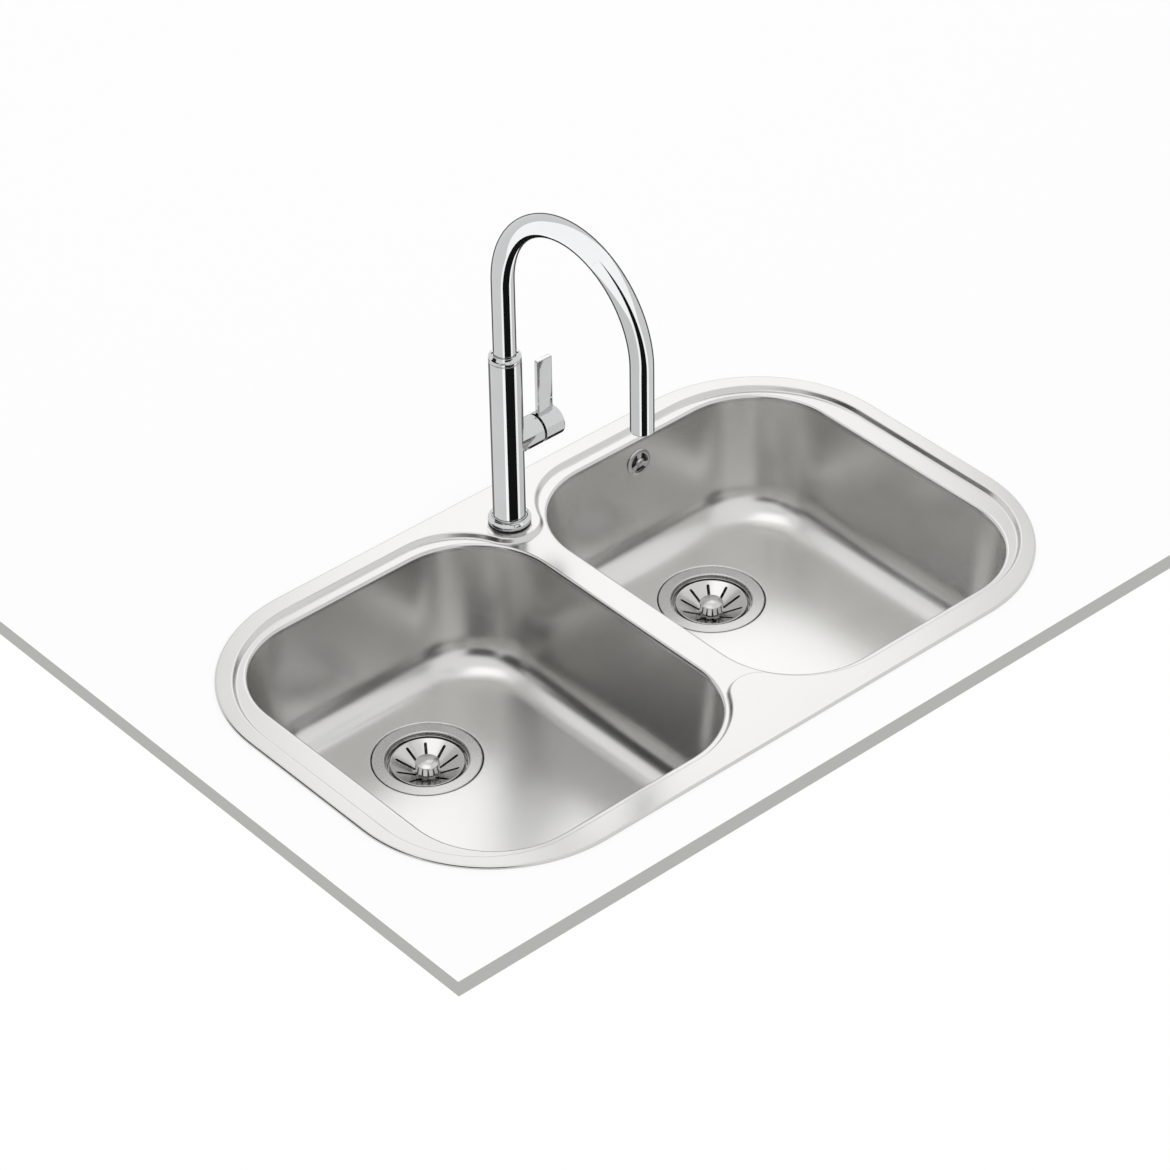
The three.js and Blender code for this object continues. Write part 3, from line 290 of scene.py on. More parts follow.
class Form:
    """A mesh in the making."""

    lift = 0.2  # more than the height of any piece that is drawn in levels

    def __init__(self) -> None:
        """Starts with nothing."""
        self.mesh = bmesh.new()

    def levels(self, outlines: Iterable[tuple[Outline, float]]) -> list[Edges]:
        """Draws loops at their heights and joins each one to the next.

        Args:
            outlines: The outlines with their heights.

        Returns:
            The loops' edges, in order.
        """
        loops = [outline.draw(self.mesh, height) for outline, height in outlines]
        for upper, lower in zip(loops, loops[1:]):
            # Two loops at one height could be joined crosswise, so the first is lifted meanwhile.
            lifted = list({vert for edge in upper for vert in edge.verts})
            bmesh.ops.translate(self.mesh, verts=lifted, vec=(0, 0, self.lift))
            bmesh.ops.bridge_loops(self.mesh, edges=upper + lower)
            bmesh.ops.translate(self.mesh, verts=lifted, vec=(0, 0, -self.lift))
        return loops

    def flat(self, *loops: Edges) -> None:
        """Fills the level region between an outer loop and the loops inside it."""
        edges = [edge for loop in loops for edge in loop]
        bmesh.ops.triangle_fill(self.mesh, use_beauty=True, use_dissolve=False, edges=edges, normal=Z_AXIS)

    def thicken(self, thickness: float) -> None:
        """Gives an open sheet that is drawn by its upper side a thickness below it.

        Args:
            thickness: The thickness.
        """
        bmesh.ops.remove_doubles(self.mesh, verts=self.mesh.verts[:], dist=TOUCH)
        bmesh.ops.recalc_face_normals(self.mesh, faces=self.mesh.faces[:])
        largest = max(self.mesh.faces, key=lambda face: face.calc_area() * abs(face.normal.z))
        if largest.normal.z < 0:
            bmesh.ops.reverse_faces(self.mesh, faces=self.mesh.faces[:])
        bmesh.ops.solidify(self.mesh, geom=self.mesh.faces[:], thickness=thickness)

    def turned(self, points: Sequence[Point], steps: int = 64) -> "Form":
        """Spins a line of (radius, height) points about Z; the line closes on itself or on the axis.

        Args:
            points: The points of the line.
            steps: The steps of the full turn.

        Returns:
            The form itself.
        """
        line = list(points)
        if line[0][0] > TOUCH or line[-1][0] > TOUCH:
            line.append(line[0])
        line = supported(line)
        tip = bmesh.ops.create_vert(self.mesh, co=(line[0][0], 0.0, line[0][1]))["vert"][0]
        drawn: list[bmesh.types.BMVert | bmesh.types.BMEdge] = [tip]
        for radius, height in line[1:]:
            made = bmesh.ops.extrude_vert_indiv(self.mesh, verts=[tip])
            tip = made["verts"][0]
            tip.co = (radius, 0.0, height)
            drawn += [tip, *made["edges"]]
        bmesh.ops.spin(
            self.mesh, geom=drawn, cent=(0, 0, 0), axis=Z_AXIS, angle=math.tau, steps=steps, use_merge=True
        )
        return self

    def rod(self, radius: float, bottom: float, top: float, steps: int = 48) -> "Form":
        """Adds a plain round bar along Z, for use in a join or a cut."""
        return self.turned([(0.0, bottom), (radius, bottom), (radius, top), (0.0, top)], steps)

    def block(self, low: Sequence[float], high: Sequence[float]) -> "Form":
        """Adds a box, for use in a join or a cut.

        Args:
            low: The box's lowest corner.
            high: The box's highest corner.

        Returns:
            The form itself.
        """
        size = Vector(high) - Vector(low)
        matrix = Matrix.Translation((Vector(high) + Vector(low)) / 2) @ Matrix.Diagonal((*size, 1.0))
        bmesh.ops.create_cube(self.mesh, size=1.0, matrix=matrix)
        return self

    def prism(self, points: Sequence[Point], bottom: float, top: float, edge: float = 0.0) -> "Form":
        """Extrudes a closed outline of points along Z.

        Args:
            points: The outline in plan.
            bottom: The height of the lower face.
            top: The height of the upper face.
            edge: How wide the edges of both faces are rounded.

        Returns:
            The form itself.
        """
        verts = [bmesh.ops.create_vert(self.mesh, co=(x, y, bottom))["vert"][0] for x, y in points]
        ring = [self.mesh.edges.new((a, b)) for a, b in zip(verts, verts[1:] + verts[:1])]
        lower = bmesh.ops.contextual_create(self.mesh, geom=ring)["faces"]
        made = bmesh.ops.extrude_face_region(self.mesh, geom=lower, use_keep_orig=True)["geom"]
        raised = [item for item in made if isinstance(item, bmesh.types.BMVert)]
        bmesh.ops.translate(self.mesh, verts=raised, vec=(0, 0, top - bottom))
        if edge > 0:
            upper = [item for item in made if isinstance(item, bmesh.types.BMEdge)]
            self.soften(ring + upper, edge, 3)
        return self

    def soften(self, edges: Edges, width: float, segments: int) -> None:
        """Rounds edges off.

        Args:
            edges: The edges.
            width: How wide they are rounded.
            segments: The faces across each rounding.
        """
        bmesh.ops.bevel(
            self.mesh,
            geom=edges,
            offset=width,
            segments=segments,
            profile=0.5,
            affect="EDGES",
            material=-1,
        )

    def place(self, matrix: Matrix) -> "Form":
        """Moves everything drawn so far by a matrix."""
        bmesh.ops.transform(self.mesh, matrix=matrix, verts=self.mesh.verts[:])
        return self

    def piece(self, name: str, closed: bool = True) -> bpy.types.Object:
        """Turns the form into an object of the scene.

        Args:
            name: The object's name.
            closed: Whether the form is made of closed bodies, whose normals are worked out anew.

        Returns:
            The object.
        """
        bmesh.ops.remove_doubles(self.mesh, verts=self.mesh.verts[:], dist=TOUCH)
        if closed:
            bmesh.ops.recalc_face_normals(self.mesh, faces=self.mesh.faces[:])
        data = bpy.data.meshes.new(name)
        self.mesh.to_mesh(data)
        self.mesh.free()
        made = bpy.data.objects.new(name, data)
        bpy.context.scene.collection.objects.link(made)
        shade(data)
        return made


def shade(data: bpy.types.Mesh) -> None:
    """Shades a mesh smooth, apart from its sharp edges."""
    data.polygons.foreach_set("use_smooth", [True] * len(data.polygons))
    data.set_sharp_from_angle(angle=math.radians(SHARP_TURN))


def combine(body: bpy.types.Object, operation: str, tools: Sequence[Form]) -> None:
    """Joins forms to an object or cuts them out of it, one after the other.

    Args:
        body: The object to change.
        operation: UNION or DIFFERENCE.
        tools: The forms.
    """
    helpers = [tool.piece(f"helper_{index}") for index, tool in enumerate(tools)]
    for helper in helpers:
        modifier = body.modifiers.new("Combine", "BOOLEAN")
        modifier.operation = operation
        modifier.solver = "MANIFOLD"
        modifier.object = helper
    depsgraph = bpy.context.evaluated_depsgraph_get()
    data = bpy.data.meshes.new_from_object(body.evaluated_get(depsgraph))
    body.modifiers.clear()
    before = body.data
    body.data = data
    data.name = before.name
    bpy.data.meshes.remove(before)
    for helper in helpers:
        spare = helper.data
        bpy.data.objects.remove(helper)
        bpy.data.meshes.remove(spare)
    shade(data)


# ---------------------------------------------------------------- finishes

UNIT = (0.0, 1.0)
NOISE_RANGE = (0.3, 0.7)  # nearly all values of a noise lie here
HAIRS = ((17.0, 0.09), (-38.0, 0.06))  # turn in degrees and length of the two sets of hair scratches
HAIR_WIDTH = 0.0007
HAIR_SHARE = (0.70, 0.78)  # values of a noise that make a hair scratch


class Graph:
    """Nodes of a material or the world, placed and linked by short calls."""

    def __init__(self, owner: bpy.types.Material | bpy.types.World) -> None:
        """Starts with no nodes.

        Args:
            owner: The new material or world.
        """
        self.owner = owner
        owner.use_nodes = True
        self.tree = owner.node_tree
        self.tree.nodes.clear()

    def node(self, kind: str, inputs: dict[str, object] | None = None, **settings: object) -> bpy.types.Node:
        """Adds a node.

        Args:
            kind: The node's type.
            inputs: Values or output sockets for its inputs, by name.
            **settings: Properties of the node.

        Returns:
            The node.
        """
        made = self.tree.nodes.new(kind)
        for key, value in settings.items():
            setattr(made, key, value)
        for key, value in (inputs or {}).items():
            if isinstance(value, Socket):
                self.tree.links.new(value, made.inputs[key])
            else:
                made.inputs[key].default_value = value
        return made

    def noise(self, scale: Sequence[float], detail: float, turn: float = 0.0) -> Socket:
        """A noise over the piece.

        Args:
            scale: The size of one patch along X, Y and Z, in metres.
            detail: How many finer layers the noise has.
            turn: Degrees that the pattern is turned about Z.

        Returns:
            The noise's value, from 0 to 1.
        """
        place = self.node("ShaderNodeTexCoord").outputs["Object"]
        inputs = {
            "Vector": place,
            "Scale": [1.0 / size for size in scale],
            "Rotation": (0.0, 0.0, math.radians(turn)),
        }
        turned = self.node("ShaderNodeMapping", inputs).outputs["Vector"]
        noise = self.node("ShaderNodeTexNoise", {"Vector": turned, "Scale": 1.0, "Detail": detail})
        return noise.outputs["Fac"]

    def between(self, value: Socket, source: Pair, target: Pair) -> Socket:
        """A value carried from one range to another and kept inside it.

        Args:
            value: The value.
            source: The range that it comes from.
            target: The range that it goes to.

        Returns:
            The new value.
        """
        made = self.node("ShaderNodeMapRange", {"Value": value})
        numbers = (*source, *target)
        for name, number in zip(("From Min", "From Max", "To Min", "To Max"), numbers):
            made.inputs[name].default_value = number
        return made.outputs["Result"]

    def seen(self) -> Socket:
        """Tells the rays that reach the camera from the rest.

        Returns:
            1 for a ray from the camera, from a mirror or through glass, and 0 for any other.
        """
        rays = self.node("ShaderNodeLightPath").outputs
        direct = self.added(rays["Is Camera Ray"], rays["Is Glossy Ray"])
        return self.between(self.added(direct, rays["Is Transmission Ray"]), UNIT, UNIT)

    def added(self, first: Socket, second: Socket) -> Socket:
        """Adds two values.

        Args:
            first: The first value.
            second: The second value.

        Returns:
            Their sum.
        """
        made = self.node("ShaderNodeMath", operation="ADD")
        self.tree.links.new(first, made.inputs[0])
        self.tree.links.new(second, made.inputs[1])
        return made.outputs[0]

    def mixed(self, share: Socket, first: Colour, second: Colour) -> Socket:
        """A colour between two.

        Args:
            share: The second colour's share, from 0 to 1.
            first: The first colour.
            second: The second colour.

        Returns:
            The mixed colour.
        """
        made = self.node("ShaderNodeMix", {"Factor": share}, data_type="RGBA")
        colours = [socket for socket in made.inputs if socket.type == "RGBA"]
        colours[0].default_value = (*first, 1.0)
        colours[1].default_value = (*second, 1.0)
        return next(socket for socket in made.outputs if socket.type == "RGBA")

    def bump(self, height: Socket, depth: float) -> Socket:
        """A normal that follows a height from 0 to 1.

        Args:
            height: The height.
            depth: What a height of 1 stands for, in metres.

        Returns:
            The normal.
        """
        inputs = {"Height": height, "Strength": 1.0, "Distance": depth}
        return self.node("ShaderNodeBump", inputs).outputs["Normal"]

    def finish(self, inputs: dict[str, object]) -> bpy.types.Material:
        """Ends the material with one shader.

        Args:
            inputs: The shader's inputs.

        Returns:
            The material.
        """
        shader = self.node("ShaderNodeBsdfPrincipled", inputs)
        self.node("ShaderNodeOutputMaterial", {"Surface": shader.outputs["BSDF"]})
        return self.owner

    def blended(self, share: Socket, first: Socket, second: Socket) -> bpy.types.Material:
        """Ends the material with two shaders.

        Args:
            share: The second shader's share, from 0 to 1.
            first: The first shader.
            second: The second shader.

        Returns:
            The material.
        """
        mix = self.node("ShaderNodeMixShader", {"Fac": share})
        self.tree.links.new(first, mix.inputs[1])
        self.tree.links.new(second, mix.inputs[2])
        self.node("ShaderNodeOutputMaterial", {"Surface": mix.outputs[0]})
        return self.owner


def toned(colour: Colour, share: float) -> Colour:
    """A colour made darker or lighter by a share."""
    return tuple(min(1.0, part * share) for part in colour)


@dataclass(frozen=True)
class MetalFinish:
    """A metal with a fine grain, cloudy handling marks and hair scratches.

    Attributes:
        slot: The record's slot; not used.
        name: The material's name.
        colour: The metal's colour.
        roughness: The mean roughness.
        spread: How far the roughness goes either way.
        grain: The size of one grain mark along X, Y and Z.
        grain_depth: The depth of the grain.
        cloud: The size of a cloudy patch.
        scratches: The depth of the hair scratches, or 0 for none.
        cloud_tone: How bright the colour is in the darker clouds, as a share.
    """

    slot: Slot
    name: str
    colour: Colour
    roughness: float
    spread: float
    grain: tuple[float, float, float]
    grain_depth: float
    cloud: float = 0.09
    scratches: float = 0.0
    cloud_tone: float = 0.965

    def material(self) -> bpy.types.Material:
        """Builds the material.

        Returns:
            The material.
        """
        graph = Graph(bpy.data.materials.new(self.name))
        cloud = graph.noise((self.cloud,) * 3, 3.0)
        grain = graph.noise(self.grain, 2.0)
        limits = (self.roughness - self.spread, self.roughness + self.spread)
        cloudy = graph.between(cloud, NOISE_RANGE, limits)
        grainy = graph.between(grain, NOISE_RANGE, (-self.spread / 2, self.spread / 2))
        roughness = graph.added(cloudy, grainy)
        height = graph.between(grain, UNIT, (0.0, self.grain_depth))
        if self.scratches > 0:
            for turn, length in HAIRS:
                hairs = graph.noise((length, HAIR_WIDTH, length), 0.0, turn)
                height = graph.added(height, graph.between(hairs, HAIR_SHARE, (0.0, -self.scratches)))
        share = graph.between(cloud, (0.35, 0.65), UNIT)
        colour = graph.mixed(share, toned(self.colour, self.cloud_tone), self.colour)
        return graph.finish(
            {
                "Base Color": colour,
                "Metallic": 1.0,
                "Roughness": roughness,
                "Normal": graph.bump(height, 1.0),
            }
        )


@dataclass(frozen=True)
class MouldedFinish:
    """A moulded plastic, rubber or foam with a fine skin and a slight mottle.

    Attributes:
        slot: The record's slot; not used.
        name: The material's name.
        colour: The material's colour.
        roughness: The mean roughness.
        skin: The size of one mark of the moulded skin.
        skin_depth: The depth of the skin.
        mottle: How much darker the dark patches are.
        patch: The size of a patch.
        spread: How far the roughness goes either way.
    """

    slot: Slot
    name: str
    colour: Colour
    roughness: float
    skin: float
    skin_depth: float
    mottle: float = 0.06
    patch: float = 0.03
    spread: float = 0.05

    def material(self) -> bpy.types.Material:
        """Builds the material.

        Returns:
            The material.
        """
        graph = Graph(bpy.data.materials.new(self.name))
        patches = graph.noise((self.patch,) * 3, 4.0)
        skin = graph.noise((self.skin,) * 3, 2.0)
        share = graph.between(patches, NOISE_RANGE, UNIT)
        limits = (self.roughness - self.spread, min(1.0, self.roughness + self.spread))
        roughness = graph.between(patches, NOISE_RANGE, limits)
        return graph.finish(
            {
                "Base Color": graph.mixed(share, toned(self.colour, 1.0 - self.mottle), self.colour),
                "Roughness": roughness,
                "Normal": graph.bump(skin, self.skin_depth),
            }
        )


class Finishes(Enum):
    """The finishes of the sink's pieces."""

    DECK = MetalFinish(
        Slot.SATIN_STEEL, "satin_deck_steel", (0.62, 0.615, 0.605), 0.22, 0.025,
        grain=(0.012, 0.0004, 0.0004), grain_depth=2e-7, cloud=0.12, scratches=1e-6,
    )
    # The bowl steel's colour is set lighter than the deck steel's: painted light that lifts the bowls'
    # shaded walls.
    BOWL = MetalFinish(
        Slot.SATIN_STEEL, "satin_bowl_steel_painted_light", (0.69, 0.685, 0.67), 0.25, 0.015,
        grain=(0.0006, 0.0006, 0.006), grain_depth=3e-8, cloud=0.10, scratches=3e-7,
    )
    BRIGHT = MetalFinish(
        Slot.BRIGHT_STEEL, "bright_strainer_steel", (0.62, 0.615, 0.605), 0.2, 0.03,
        grain=(0.0015, 0.0015, 0.0015), grain_depth=1e-7, cloud=0.03,
    )
    CUP = MetalFinish(
        Slot.BRIGHT_STEEL, "satin_cup_steel", (0.60, 0.595, 0.585), 0.27, 0.02,
        grain=(0.0015, 0.0015, 0.0015), grain_depth=6e-8, cloud=0.03,
    )
    CHROME = MetalFinish(
        Slot.CHROME, "tap_chrome", (0.62, 0.625, 0.63), 0.05, 0.01,
        grain=(0.004, 0.004, 0.004), grain_depth=2e-7, cloud=0.05,
    )
    ZINC = MetalFinish(
        Slot.ZINC_STEEL, "zinc_plate", (0.60, 0.61, 0.62), 0.42, 0.06,
        grain=(0.0015, 0.0015, 0.0015), grain_depth=4e-6, cloud=0.012,
    )
    BRASS = MetalFinish(
        Slot.BRASS, "turned_brass", (0.72, 0.57, 0.30), 0.32, 0.05,
        grain=(0.004, 0.004, 0.0005), grain_depth=3e-6, cloud=0.01,
    )
    RUBBER = MouldedFinish(Slot.RUBBER, "black_rubber", (0.035, 0.035, 0.037), 0.8, 0.0008, 2e-5, 0.2)
    FOAM = MouldedFinish(Slot.FOAM, "grey_foam", (0.05, 0.052, 0.055), 0.93, 0.0012, 1.5e-4, 0.3)
    WHITE = MouldedFinish(Slot.WHITE_PLASTIC, "white_plastic", (0.80, 0.80, 0.78), 0.42, 0.0009, 6e-6)
    GREY = MouldedFinish(Slot.GREY_PLASTIC, "grey_plastic", (0.27, 0.28, 0.29), 0.5, 0.0009, 1e-5)


# ---------------------------------------------------------------- sub-assemblies


class Dresser:
    """Gives pieces and CAD nodes their finish, ties new pieces to their body, and reports each."""

    def __init__(self) -> None:
        """Starts with no material built."""
        self.built: dict[Finishes, bpy.types.Material] = {}

    def material(self, finish: Finishes) -> bpy.types.Material:
        """The material of a finish, built once.

        Args:
            finish: The finish.

        Returns:
            The material.
        """
        if finish not in self.built:
            self.built[finish] = finish.value.material()
        return self.built[finish]

    def dress(self, piece: bpy.types.Object, finish: Finishes, body: Body, *nodes: str) -> None:
        """Finishes a new piece and ties it to the frame.

        Args:
            piece: The new piece.
            finish: Its finish.
            body: The body that it rides on.
            *nodes: The CAD nodes that it stands for.
        """
        piece.data.materials.clear()
        piece.data.materials.append(self.material(finish))
        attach(piece, body.value)
        if nodes:
            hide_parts(*nodes)
        LOG.info("%s: %d faces on %s", piece.name, len(piece.data.polygons), body.value)

    def keep(self, node: bpy.types.Object, finish: Finishes) -> None:
        """Gives a CAD node that stays a better material.

        Args:
            node: The node's object.
            finish: Its finish.
        """
        for place in node.material_slots:
            place.material = self.material(finish)
        LOG.info("%s: kept from the frame", node.name)


@dataclass(frozen=True)
class Landing:
    """A raised landing between the bowls: a round tip with two flanks that run into the ledge's side.

    Attributes:
        tip_y: The tip's centre, as a distance from the sink's middle.
        tip_radius: The tip's radius.
        flank_radius: The flanks' radius.
        ledge_y: The ledge's long side, as a distance from the sink's middle.
    """

    tip_y: float
    tip_radius: float
    flank_radius: float
    ledge_y: float

    @property
    def flank_y(self) -> float:
        """The flanks' centre along Y."""
        return self.ledge_y - self.flank_radius

    @property
    def flank_x(self) -> float:
        """The right flank's centre along X."""
        return math.sqrt((self.flank_radius + self.tip_radius) ** 2 - (self.tip_y - self.flank_y) ** 2)

    @property
    def angle(self) -> float:
        """Degrees at which the tip and a flank meet."""
        return math.degrees(math.atan2(abs(self.tip_y - self.flank_y), self.flank_x))


@dataclass
class SinkPlan:
    """Outlines in plan and heights that the deck, the bowls and the worktop share."""

    length: float = 0.840
    width: float = 0.500
    corner: float = 0.163
    top: float = 0.003
    end_border: float = 0.017
    back_border: float = 0.021
    front_border: float = 0.027
    back_corner: float = 0.142
    front_corner: float = 0.125
    back_tip: float = 0.0315
    back_flank: float = 0.085
    front_tip: float = 0.030
    front_flank: float = 0.108
    front_tip_y: float = 0.188
    step_drop: float = 0.005
    step_run: float = 0.003
    weld: float = -0.008
    bowl_length: float = 0.357
    bowl_width: float = 0.424
    bowl_corner: float = 0.097
    divider: float = 0.036
    floor: float = -0.148
    draft: float = math.radians(4.5)
    drain_y: float = 0.095
    tap_y: float = 0.190
    corner_steps: int = 32
    flank_steps: int = 20
    tip_steps: int = 30

    @property
    def ledge(self) -> float:
        """Height of the lowered ledge round the bowls."""
        return self.top - self.step_drop

    @property
    def bowl_x(self) -> float:
        """Distance of each bowl's middle from the sink's middle."""
        return (self.bowl_length + self.divider) / 2

    def rim(self, inset: float) -> Outline:
        """The sink's outline, drawn in by an inset."""
        half_x, half_y = self.length / 2 - inset, self.width / 2 - inset
        return rounded_rectangle((0, 0), half_x, half_y, self.corner - inset, self.corner_steps)

    def bowl(self, side: Side, inset: float) -> Outline:
        """A bowl's outline at the weld, drawn in by an inset."""
        half_x, half_y = self.bowl_length / 2 - inset, self.bowl_width / 2 - inset
        return rounded_rectangle((side.value * self.bowl_x, 0), half_x, half_y, self.bowl_corner - inset)

    def wall_inset(self, height: float) -> float:
        """How far a bowl's wall has leaned in at a height."""
        return (self.weld - height) * math.tan(self.draft)

    def step_edge(self, inset: float) -> Outline:
        """The edge of the lowered ledge.

        Args:
            inset: How far it is drawn in.

        Returns:
            The outline.
        """
        half = self.width / 2
        back = Landing(self.tap_y, self.back_tip, self.back_flank, half - self.back_border)
        front = Landing(self.front_tip_y, self.front_tip, self.front_flank, half - self.front_border)
        back_arcs = self.long_side(back, self.back_corner, inset, 0)
        return Outline(back_arcs + self.long_side(front, self.front_corner, inset, 180))

    def long_side(self, landing: Landing, corner: float, inset: float, turn: int) -> tuple[Arc, ...]:
        """One long side of the ledge's edge, with its two corners and its landing.

        Args:
            landing: The side's landing.
            corner: The radius of its corners.
            inset: How far the edge is drawn in.
            turn: 0 for the back, or 180 for the front, which is drawn like the back and turned.

        Returns:
            The arcs, anticlockwise.
        """
        sign = 1 if turn == 0 else -1
        corner_x = sign * (self.length / 2 - self.end_border - corner)
        corner_y = sign * (landing.ledge_y - corner)
        flank_x, flank_y = sign * landing.flank_x, sign * landing.flank_y
        corner_radius, flank_radius = corner - inset, landing.flank_radius - inset
        tip_radius = landing.tip_radius + inset
        half, full, angle = turn + 90, turn + 180, landing.angle
        return (
            Arc(corner_x, corner_y, corner_radius, turn, half, self.corner_steps),
            Arc(flank_x, flank_y, flank_radius, half, full - angle, self.flank_steps),
            Arc(0, sign * landing.tip_y, tip_radius, turn - angle, angle + (turn - 180), self.tip_steps),
            Arc(-flank_x, flank_y, flank_radius, turn + angle, half, self.flank_steps),
            Arc(-corner_x, corner_y, corner_radius, half, full, self.corner_steps),
        )


@dataclass
class Deck:
    """The pressed deck with its rolled rim, lowered ledge, two landings and two bowl openings."""

    plan: SinkPlan
    lip: float = 0.0021
    step_round: float = 0.002
    edge_round: float = 0.0036
    tap_hole: float = 0.0175
    flat_support: float = 0.0003

    def build(self) -> bpy.types.Object:
        """Builds the deck's sheet.

        Returns:
            The sheet.
        """
        plan = self.plan
        form = Form()
        rim = rounded([(0.0, SEAT_GAP), (0.0, plan.top, self.lip), (self.lip + self.flat_support, plan.top)])
        rim_loops = form.levels((plan.rim(inset), height) for inset, height in rim)
        slope = math.atan2(plan.step_drop, plan.step_run)
        reach = self.step_round * math.tan(slope / 2) + self.flat_support
        step = rounded(
            [
                (-reach, plan.top),
                (0.0, plan.top, self.step_round),
                (plan.step_run, plan.ledge, self.step_round),
                (plan.step_run + reach, plan.ledge),
            ]
        )
        step_loops = form.levels((plan.step_edge(inset), height) for inset, height in step)
        tap_hole = ring(0, plan.tap_y, self.tap_hole, 64).draw(form.mesh, plan.top)
        form.flat(rim_loops[-1], step_loops[0], tap_hole)
        bowl_loops = [self.opening(form, side) for side in Side]
        form.flat(step_loops[-1], *bowl_loops)
        form.thicken(SHEET)
        return form.piece("deck_sheet", closed=False)

    def opening(self, form: Form, side: Side) -> Edges:
        """Draws the bend from the ledge down to a bowl's weld.

        Args:
            form: The deck's form.
            side: The bowl's side.

        Returns:
            The loop of edges on the ledge.
        """
        plan = self.plan
        corner = plan.wall_inset(plan.ledge)
        reach = self.edge_round * math.tan((math.pi / 2 - plan.draft) / 2) + self.flat_support
        ledge = [(corner - reach, plan.ledge), (corner, plan.ledge, self.edge_round)]
        bend = rounded([*ledge, (0.0, plan.weld)])
        return form.levels((plan.bowl(side, inset), height) for inset, height in bend)[0]


@dataclass
class Bowl:
    """A pressed bowl with leaning walls, a rounded floor edge and a recess round its drain."""

    plan: SinkPlan
    side: Side
    wall_levels: tuple[float, ...] = (-0.030, -0.080, -0.108)
    fillet: float = 0.038
    fillet_step: float = 7.0
    floor_inset: float = 0.048
    recess_radius: float = 0.0572
    recess_depth: float = 0.003
    recess_round: float = 0.0012
    recess_top_lean: float = 0.0009
    recess_foot_lean: float = 0.0006
    recess_support: float = 0.0035
    drain_hole: float = 0.045
    overflow_depth: float = 0.030
    overflow_hole: float = 0.011

    def build(self) -> bpy.types.Object:
        """Builds the bowl's sheet.

        Returns:
            The sheet.
        """
        plan = self.plan
        form = Form()
        wall = [(plan.wall_inset(height), height) for height in (plan.weld, *self.wall_levels)]
        floor = [(plan.wall_inset(plan.floor), plan.floor, self.fillet), (self.floor_inset, plan.floor)]
        section = rounded(wall + floor, self.fillet_step)
        loops = form.levels((plan.bowl(self.side, inset), height) for inset, height in section)
        recess_floor = plan.floor - self.recess_depth
        recess = rounded(
            [
                (self.recess_radius + self.recess_support, plan.floor),
                (self.recess_radius + self.recess_top_lean, plan.floor, self.recess_round),
                (self.recess_radius - self.recess_foot_lean, recess_floor, self.recess_round),
                (self.recess_radius - self.recess_support, recess_floor),
                (self.drain_hole, recess_floor),
            ]
        )
        drain_x = self.side.value * plan.bowl_x
        rings = form.levels((ring(drain_x, plan.drain_y, radius, 96), height) for radius, height in recess)
        form.flat(loops[-1], rings[0])
        form.thicken(SHEET)
        piece = form.piece(f"{self.side.word}_bowl_shell", closed=False)
        if self.side is Side.RIGHT:
            hole = Form().rod(self.overflow_hole, -self.fillet / 2, self.fillet / 2, 64)
            combine(piece, "DIFFERENCE", [hole.place(self.overflow_place())])
        return piece

    def overflow_place(self) -> Matrix:
        """Finds the overflow's place on the right bowl's back wall.

        Returns:
            The place, with +Z square to the wall and into the bowl.
        """
        plan = self.plan
        wall_y = plan.bowl_width / 2 - plan.wall_inset(-self.overflow_depth)
        turn = Matrix.Rotation(math.pi / 2 - plan.draft, 4, "X")
        return Matrix.Translation((plan.bowl_x, wall_y, -self.overflow_depth)) @ turn


